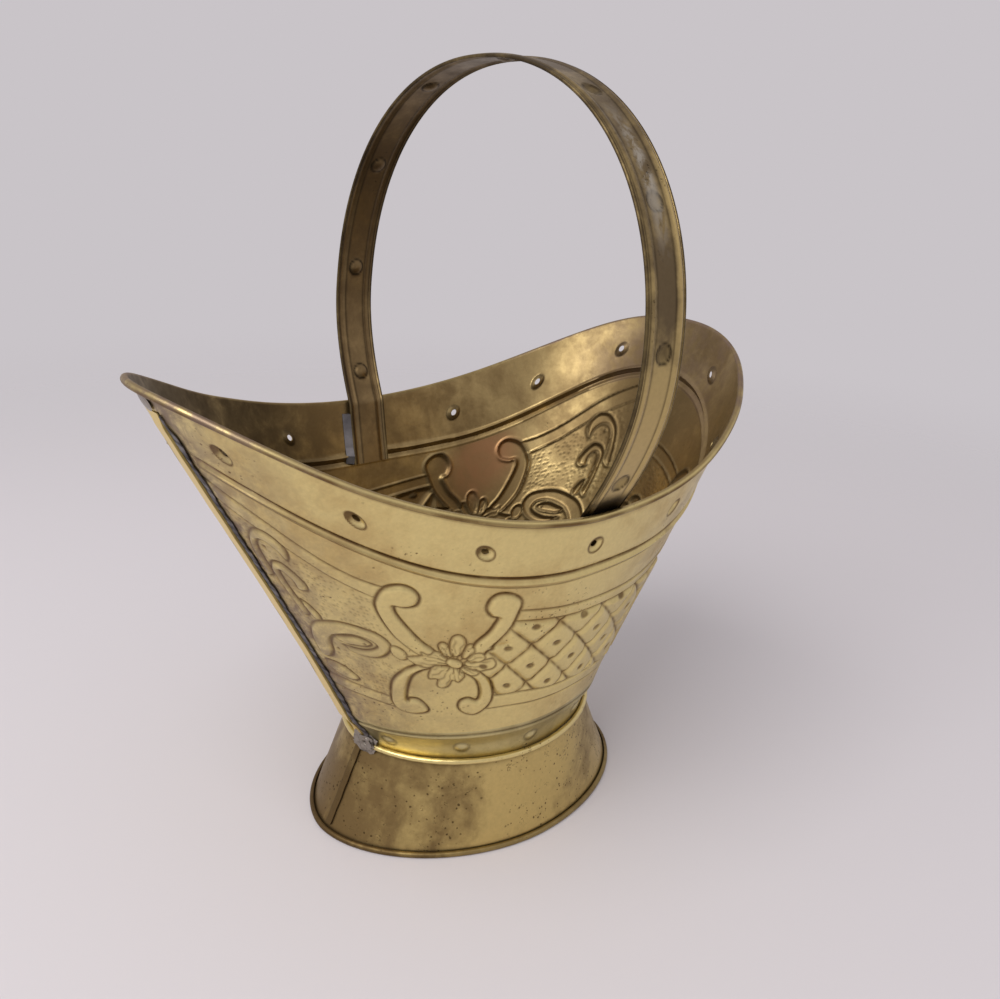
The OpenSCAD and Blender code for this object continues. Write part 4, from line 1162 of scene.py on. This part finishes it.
BEAD_R, BEAD_GAP, BEAD_RISE, NECK_BEAD_COLUMNS, NECK_BEAD_SIDES = 1.3, 0.2, 0.85, 420, 16
SOLDER_LUMP_TURN, LUMP_HALF_W, LUMP_HALF_H, LUMP_OUT = 9.0, 6.2, 4.6, 1.5
LUMP_GAP, LUMP_RISE, LUMP_RINGS, LUMP_SIDES, LUMP_END = 0.8, 2, 25, 40, 80
foot_brass = metal_material(
    "foot_brass",
    dict(Bright=srgb(200, 176, 114), Dull=srgb(128, 106, 68), Dark=srgb(74, 56, 34),
         Dullness=0.06, Pits=0.23),
    dict(Bright=srgb(120, 100, 66), Dull=srgb(84, 68, 46), Dark=srgb(44, 34, 22),
         Dullness=0.1, Pits=0.1))


def plan_normal(t, outline):
    """Level outward direction of an outline in plan: square to the step between two near places."""
    d = oval(t + NUDGE_T, **outline) - oval(t - NUDGE_T, **outline)
    return unit(np.stack([d[..., 1], -d[..., 0]], -1))


def neck_offset(t, out):
    """The neck's outline, moved outwards from where the drawn-in sheet stands."""
    return oval(t, **NECK) + (out - NECK_INSET) * plan_normal(t, NECK)


def foot_surface(t, s, out=0.0):
    """Outer face of the foot: straight from the neck at s = 0 to the hem at s = 1."""
    top = neck_offset(t, 0)
    plan = top + (oval(t, **FOOT) - top) * s[..., None] + out * plan_normal(t, FOOT)
    return np.concatenate([plan, (NECK_Z - (NECK_Z - HEM_LIFT) * s)[..., None]], -1)


def add_foot():
    """Ring of loops: out along the flange, down the outer face, round the hem's curl and back up."""
    t = turn_of(np.linspace(0, 2 * HALF_GIRTH, FOOT_COLUMNS, endpoint=False))[:, None]
    s = np.linspace(0, 1, FOOT_ROWS)[None]
    grid_t, grid_s = (np.broadcast_to(x, (FOOT_COLUMNS, FOOT_ROWS)) for x in (t, s))
    outward = np.concatenate([plan_normal(grid_t, FOOT), 0 * grid_s[..., None]], -1)
    outer = foot_surface(grid_t, grid_s)
    waves = unevenness(outer, **FOOT_WAVES) * np.sin(np.pi * grid_s) ** 0.7
    outer = outer + waves[..., None] * outward
    inner = outer - SHEET_T * outward
    inner[:, 0, 2] -= SHEET_T
    edge, out, down = outer[:, -1], outward[:, -1], np.array([0, 0, -1.0])

    def curl(radius, degrees):
        """Points on a circle round the hem wire's middle line, at those angles from outwards."""
        angle = np.radians(degrees)[None, :, None]
        return edge[:, None] + HEM_CURL_R * out[:, None] + radius * (np.cos(angle) * out[:, None]
                                                                     + np.sin(angle) * down)

    flange = [np.concatenate([neck_offset(t, -FLANGE_W), 0 * t[..., None] + NECK_Z - drop], -1)
              for drop in (0, SHEET_T)]
    turned_in = curl(HEM_CURL_R, np.arange(HEM_END, CURL_END - 1, -HEM_STEP))
    turned_out = curl(HEM_CURL_R + SHEET_T, np.arange(CURL_END, HEM_END + 1, HEM_STEP))
    turned_out[..., 2] = turned_out[..., 2].clip(0)
    loops = np.concatenate([flange[0], outer, turned_in, turned_out, inner[:, ::-1], flange[1]], 1)
    dirt = np.maximum(0.6 * smooth(1 - grid_s * 11), 0.7 * smooth((grid_s - 0.94) / 0.05))
    full = np.ones((FOOT_COLUMNS, loops.shape[1] - 2 * FOOT_ROWS - 2))
    dirt = np.concatenate([0 * t + 0.5, dirt, 0.55 * full, 0 * dirt, 0 * t], 1)
    hidden = np.concatenate([0 * t, 0 * grid_s, 0 * full, 1 + 0 * grid_s, 0 * t + 1], 1)
    turned = from_seam(t)
    # Painted sheen on the foot's flanks, less towards the back and beside the front seam.
    painted_flank_sheen = ramp(turned, 48, 88) - 0.6 * ramp(turned, 92, 122) - 0.5 * ramp(turned, 50, 30)
    worn = np.concatenate([0 * t, painted_flank_sheen + 0 * grid_s, painted_flank_sheen * full, 0 * grid_s, 0 * t], 1)
    add_loops("foot_skirt_shell", loops, foot_brass, "dark_brass", "foot_skirt", ring=True,
              inner=hidden, dirt=dirt, worn=worn)


def add_neck_bead():
    """Round bead: a circle carried round the neck, a little thicker and thinner by turns."""
    t = turn_of(np.linspace(0, 2 * HALF_GIRTH, NECK_BEAD_COLUMNS, endpoint=False))
    plan, out = neck_offset(t, BEAD_R + BEAD_GAP), plan_normal(t, NECK)
    centre = np.concatenate([plan, np.full((len(t), 1), NECK_Z + BEAD_R * BEAD_RISE)], 1)
    angle = np.linspace(0, 2 * np.pi, NECK_BEAD_SIDES, endpoint=False)[None, :, None]
    level = np.concatenate([out, np.zeros((len(t), 1))], 1)[:, None]
    size = BEAD_R * (1 + 0.05 * np.cos(np.radians(t) * 37) * np.cos(np.radians(t) * 23))[:, None, None]
    points = centre[:, None] + size * (np.cos(angle) * level + np.sin(angle) * np.array([0, 0, 1.0]))
    # Painted shade on the bead's underside and a painted highlight over its top.
    under = smooth(-np.sin(angle[..., 0]) - 0.2)
    add_loops("neck_bead_ring", points, brass_sheet, "brass", "neck_bead", ring=True,
              inner=0, dirt=0.7 * under, worn=0.8 * (1 - under), blush=0)


def add_foot_seam():
    """Rounded strip down the front of the foot: a squared-up circle carried down its face."""
    s = np.linspace((BEAD_R + 1) / NECK_Z, 1 - 2 * (HEM_CURL_R + SHEET_T) / NECK_Z, FOOT_SEAM_STEPS)
    t = np.full(len(s), FOOT_SEAM_TURN)
    out = np.concatenate([plan_normal(t, FOOT), np.zeros((len(s), 1))], 1)
    side = np.cross(out, [0, 0, -1.0])
    base = foot_surface(t, s) + FOOT_SEAT * out
    angle = np.linspace(0, 2 * np.pi, FOOT_SEAM_SIDES, endpoint=False)[None]
    across = np.sign(np.cos(angle)) * np.abs(np.cos(angle)) ** 0.5 * FOOT_SEAM_W / 2
    high = FOOT_SEAM_T / 2 * (1 + np.sign(np.sin(angle)) * np.abs(np.sin(angle)) ** 0.5)
    aside = across + along_noise(s[:, None] * NECK_Z, seed=31, wavelength=16, amount=0.12)
    points = base[:, None] + aside[..., None] * side[:, None] + high[..., None] * out[:, None]
    edge = smooth((np.abs(across) / (FOOT_SEAM_W / 2) - 0.8) / 0.2)
    add_loops("foot_seam", points, foot_brass, "dark_brass", "foot_seam_fold",
              inner=0, dirt=np.maximum(0.95 * edge, 0.45), worn=-0.5)


def add_neck_solder():
    """Lump of solder over the neck bead, where the front seam's solder line ran down onto it: a
    flattened ball whose radius swells and shrinks with slow waves."""
    turn = np.array([SOLDER_LUMP_TURN])
    out = np.append(plan_normal(turn, NECK)[0], 0)
    side, up = np.cross(out, [0, 0, -1.0]), np.array([0, 0, 1.0])
    centre = np.append(neck_offset(turn, BEAD_R + LUMP_GAP)[0], NECK_Z + LUMP_RISE)
    rise, way = np.meshgrid(np.linspace(-LUMP_END, LUMP_END, LUMP_RINGS),
                            np.arange(LUMP_SIDES) * 360 / LUMP_SIDES)
    rise, way = np.radians(rise), np.radians(way)
    lump = 1 + along_noise(2 * np.cos(way) + 3 * rise, seed=51, wavelength=2.1, amount=0.2)
    lump = lump + along_noise(3 * np.sin(way) - rise, seed=52, wavelength=1.7, amount=0.2)
    ball = [np.cos(rise) * np.cos(way) * LUMP_HALF_W, np.cos(rise) * np.sin(way) * LUMP_HALF_H,
            np.sin(rise) * LUMP_OUT]
    ball = np.stack(ball, -1) * lump[..., None]
    points = centre + ball[..., :1] * side + ball[..., 1:2] * up + ball[..., 2:] * out
    columns, rows = way.shape
    caps = np.arange(columns // 2 - 1)
    cap = np.stack([caps, caps + 1, columns - 2 - caps, columns - 1 - caps], -1) * rows
    around = closed_loops(columns, rows, True)[:, :-1].reshape(-1, 4)
    faces = np.concatenate([around, cap[:, ::-1], cap + rows - 1])
    add_piece("neck_solder_lump", points, faces, tinned_brass, ["front_seam_solder"],
              dict(dirt=0.5 * smooth(3 * (1 - lump)), worn=0 * rise, inner=0 * rise))


add_foot()
add_neck_bead()
add_foot_seam()
add_neck_solder()


# ---- Handle ------------------------------------------------------------------------------------
# A pressed brass strap with a rib along each edge and a row of punched hollows. Both ends stand inside
# the walls and are soldered there. Its inner face is dark, its lower near leg is rubbed bright, and a
# pale bloom shows near one shoulder. A painted highlight runs along one rib, and painted shade darkens
# one side of each hollow.
HANDLE_X, HANDLE_LEAN, HANDLE_TAIL, HANDLE_SPRING = -5.5, 0.065, 0.225, 0.6
HANDLE_TOP, HANDLE_WIDE_Z, HANDLE_HALF_W, HANDLE_SQUARE = 320, 219, 99.5, 2.15
STRAP_W, STRAP_T, STRAP_CLEAR, STRAP_EDGE_R = 19.2, 0.8, 2.5, 1.1
RIB_FROM, RIB_TO, RIB_H, HEM_R = 4.6, 0.9, 0.7, 0.7
STRAP_FACE_POINTS, STRAP_HEM_POINTS, HEM_TURN, HEM_OVERLAP = 33, 11, 120, 0.25
STRAP_PITCH, STRAP_HOLLOW_R, STRAP_HOLLOW = 50.1, 3.8, 1.3
STRAP_STEP, TAIL_STEPS, BELLY_STEPS, CROWN_STEPS = 1.0, 30, 60, 200
BLOOM = srgb(188, 182, 170)


def strap_x(z):
    """Place of the strap's middle along the bowl: it leans back evenly as it rises."""
    return CENTRE_X + HANDLE_X + HANDLE_LEAN * (z - RIM_LOW_Z)


def turn_at(x, v):
    """Turn at which the wall stands at x: the arc cosine of the share of its reach."""
    f = flare(90, v)
    d = CENTRE_X + f * RIM["mid"] - x
    front = NECK["front"] + f * (RIM["front"] + RIM["mid"] - NECK["front"])
    rear = NECK["rear"] + f * (RIM["rear"] - RIM["mid"] - NECK["rear"])
    return np.degrees(np.arccos(d / np.where(d > 0, front, rear)))


def half_handle():
    """Middle line of half the handle, from an end inside the wall to the crown, in equal steps: down
    the wall's inside, then an S-curve out to the widest place, then a superellipse over the top."""
    v = np.linspace(1 - HANDLE_TAIL, 1, TAIL_STEPS)
    z = NECK_Z + (RIM_LOW_Z - NECK_Z) * v
    edges = [np.abs(plain_wall(turn_at(strap_x(z) + side, v), v)[..., 1])
             for side in (-STRAP_W / 2, STRAP_W / 2)]
    tail = np.stack([np.minimum(*edges) - STRAP_CLEAR, z], 1)
    u = np.linspace(0, 1, BELLY_STEPS)[1:]
    start, rise = tail[-1], HANDLE_WIDE_Z - RIM_LOW_Z
    belly = np.stack([start[0] + (HANDLE_HALF_W - start[0]) * (3 * u ** 2 - 2 * u ** 3)
                      + HANDLE_SPRING * rise * u * (1 - u) ** 2, RIM_LOW_Z + rise * u], 1)
    angle = np.radians(np.linspace(0, 90, CROWN_STEPS))[1:]
    power = 2 / HANDLE_SQUARE
    crown = np.stack([HANDLE_HALF_W * np.cos(angle).clip(0) ** power, HANDLE_WIDE_Z
                      + (HANDLE_TOP - STRAP_EDGE_R - HANDLE_WIDE_Z) * np.sin(angle) ** power], 1)
    line = np.concatenate([tail, belly, crown])
    run = np.concatenate([[0], np.linalg.norm(np.diff(line, axis=0), axis=1).cumsum()])
    even = np.linspace(0, run[-1], int(run[-1] / STRAP_STEP))
    return np.stack([np.interp(even, run, line[:, 0]), np.interp(even, run, line[:, 1])], 1), run[-1]


def strap_section():
    """Closed section of the strap: pressed sheet with a rib, a squared half sine wave, towards each
    edge and a small rolled hem. Gives each point's place across, its height out of the face, and 1 on
    the outer face, 0 on the hems, -1 inside."""
    across = np.linspace(-1, 1, STRAP_FACE_POINTS) * (STRAP_W / 2 - 2 * HEM_R + HEM_OVERLAP)
    on_rib = np.clip((np.abs(across) - RIB_FROM) / (STRAP_W / 2 - RIB_TO - RIB_FROM), 0, 1)
    rib = RIB_H * np.sin(np.pi * on_rib) ** 2
    angle = np.radians(np.linspace(HEM_TURN, -HEM_TURN, STRAP_HEM_POINTS))
    hem = np.stack([STRAP_W / 2 - HEM_R + HEM_R * np.cos(angle), HEM_R * np.sin(angle)], 1)
    top = np.stack([across, rib + STRAP_T / 2], 1)
    low = np.stack([across, rib - STRAP_T / 2], 1)[::-1]
    points = np.concatenate([top, hem, low, (hem * [-1, 1])[::-1]])
    face = np.concatenate([np.ones(len(top)), np.zeros(len(hem)), -np.ones(len(low)), np.zeros(len(hem))])
    return points[:, 0], points[:, 1], face


def pale_bloom(tree, vector, colour, rough):
    """Whitish dry deposit near one shoulder of the strap, in clouds drawn out along it."""
    bloom = add(tree, "ShaderNodeAttribute", attribute_name="bloom").outputs["Fac"]
    drawn_out = stretched(tree, vector, 1, 1, 0.45)
    cloud = noise_node(tree, drawn_out, scale=150, detail=5, roughness=0.7, distortion=0.6)
    cloud = step_node(tree, cloud, low=0.40, high=0.56)
    mask = math_node(tree, "MULTIPLY", bloom, cloud)
    colour = mix_node(tree, mask, colour, BLOOM)
    return colour, math_node(tree, "MULTIPLY_ADD", mask, 0.3, rough)


handle_brass = metal_material(
    "handle_brass",
    dict(Bright=srgb(190, 166, 112), Dull=srgb(110, 94, 68), Dark=srgb(46, 36, 24),
         Dullness=0.05, Pits=0.1),
    dict(Bright=srgb(156, 132, 90), Dull=srgb(116, 96, 66), Dark=srgb(38, 30, 20),
         Dullness=0.06, Pits=0.06),
    finish=pale_bloom)


def add_handle():
    """The section carried along the middle line, square to it, with hollows in equal steps. s runs from
    one end over the crown, where it is 0, to the near end, where it is largest."""
    half, half_length = half_handle()
    line = np.concatenate([half, (half * [-1, 1])[-2::-1]])
    s = np.linspace(-half_length, half_length, len(line))[:, None]
    d = unit(np.gradient(line, axis=0))
    across, high, face = (x[None] for x in strap_section())
    away = np.hypot((s + STRAP_PITCH / 2) % STRAP_PITCH - STRAP_PITCH / 2, across) / STRAP_HOLLOW_R
    offset = high - STRAP_HOLLOW * (1 - away ** 2).clip(0)
    points = np.stack([strap_x(line[:, 1:]) + across + 0 * s, line[:, :1] + d[:, 1:] * offset,
                       line[:, 1:] - d[:, :1] * offset], -1)
    step_line = bump(np.abs(across) - RIB_FROM, 1.3) + bump(np.abs(across) - (STRAP_W / 2 - 1.7), 1.1)
    # Painted shade over one side of each hollow, besides the dirt in a ring at its edge.
    shading_axis = (s * SHADING_TILT_B + across * SHADING_TILT_A) / STRAP_HOLLOW_R
    cup_dirt_and_shade = np.maximum(0.95 * bump(away - 0.92, 0.45), 0.35 * smooth(0.4 + 1.4 * shading_axis) * (away < 1))
    # Darker inner face and hems at the crown, and a darker near end inside the wall.
    dark_crown_inside, dull_hem, dark_near_end = 0.5 * bump(s, 210), 0.65, 0.95 * ramp(s, 204, 210)
    dirt = np.maximum(0.7 * step_line * np.abs(face), cup_dirt_and_shade * (face != 0))
    dirt = np.maximum.reduce([dirt, dark_crown_inside * (face <= 0), (dull_hem + 0 * s) * (face == 0),
                              dark_near_end + 0 * face])
    # Painted highlight along one rib of the near shoulder.
    rib_highlight = 1.3 * bump(across - 7, 4) * bump(s - 112, 110) * (face > 0)
    low_leg = 1.4 * ramp(s, 152, 166) * (face > 0)
    dull_web = 0.9 * bump(s - 130, 50) * (np.abs(across) < 4.4) * (face > 0)
    dull_crown = 0.35 * bump(s, 230) * (face >= 0)
    bloom = 0.75 * bump(s - 88, 76) * smooth(1.3 - np.abs(across) / 3.2) * (face > 0)
    add_loops("handle_strap_pressed", points, handle_brass, "dark_brass", "handle_strap",
              start=-(STRAP_HEM_POINTS // 2 + 1), inner=face < 0, dirt=dirt,
              worn=np.maximum(low_leg, rib_highlight) - dull_crown - dull_web, bloom=bloom)


add_handle()
for node_name in ("handle_solder_near", "handle_solder_far"):
    dress_solid(node_name, old_solder)
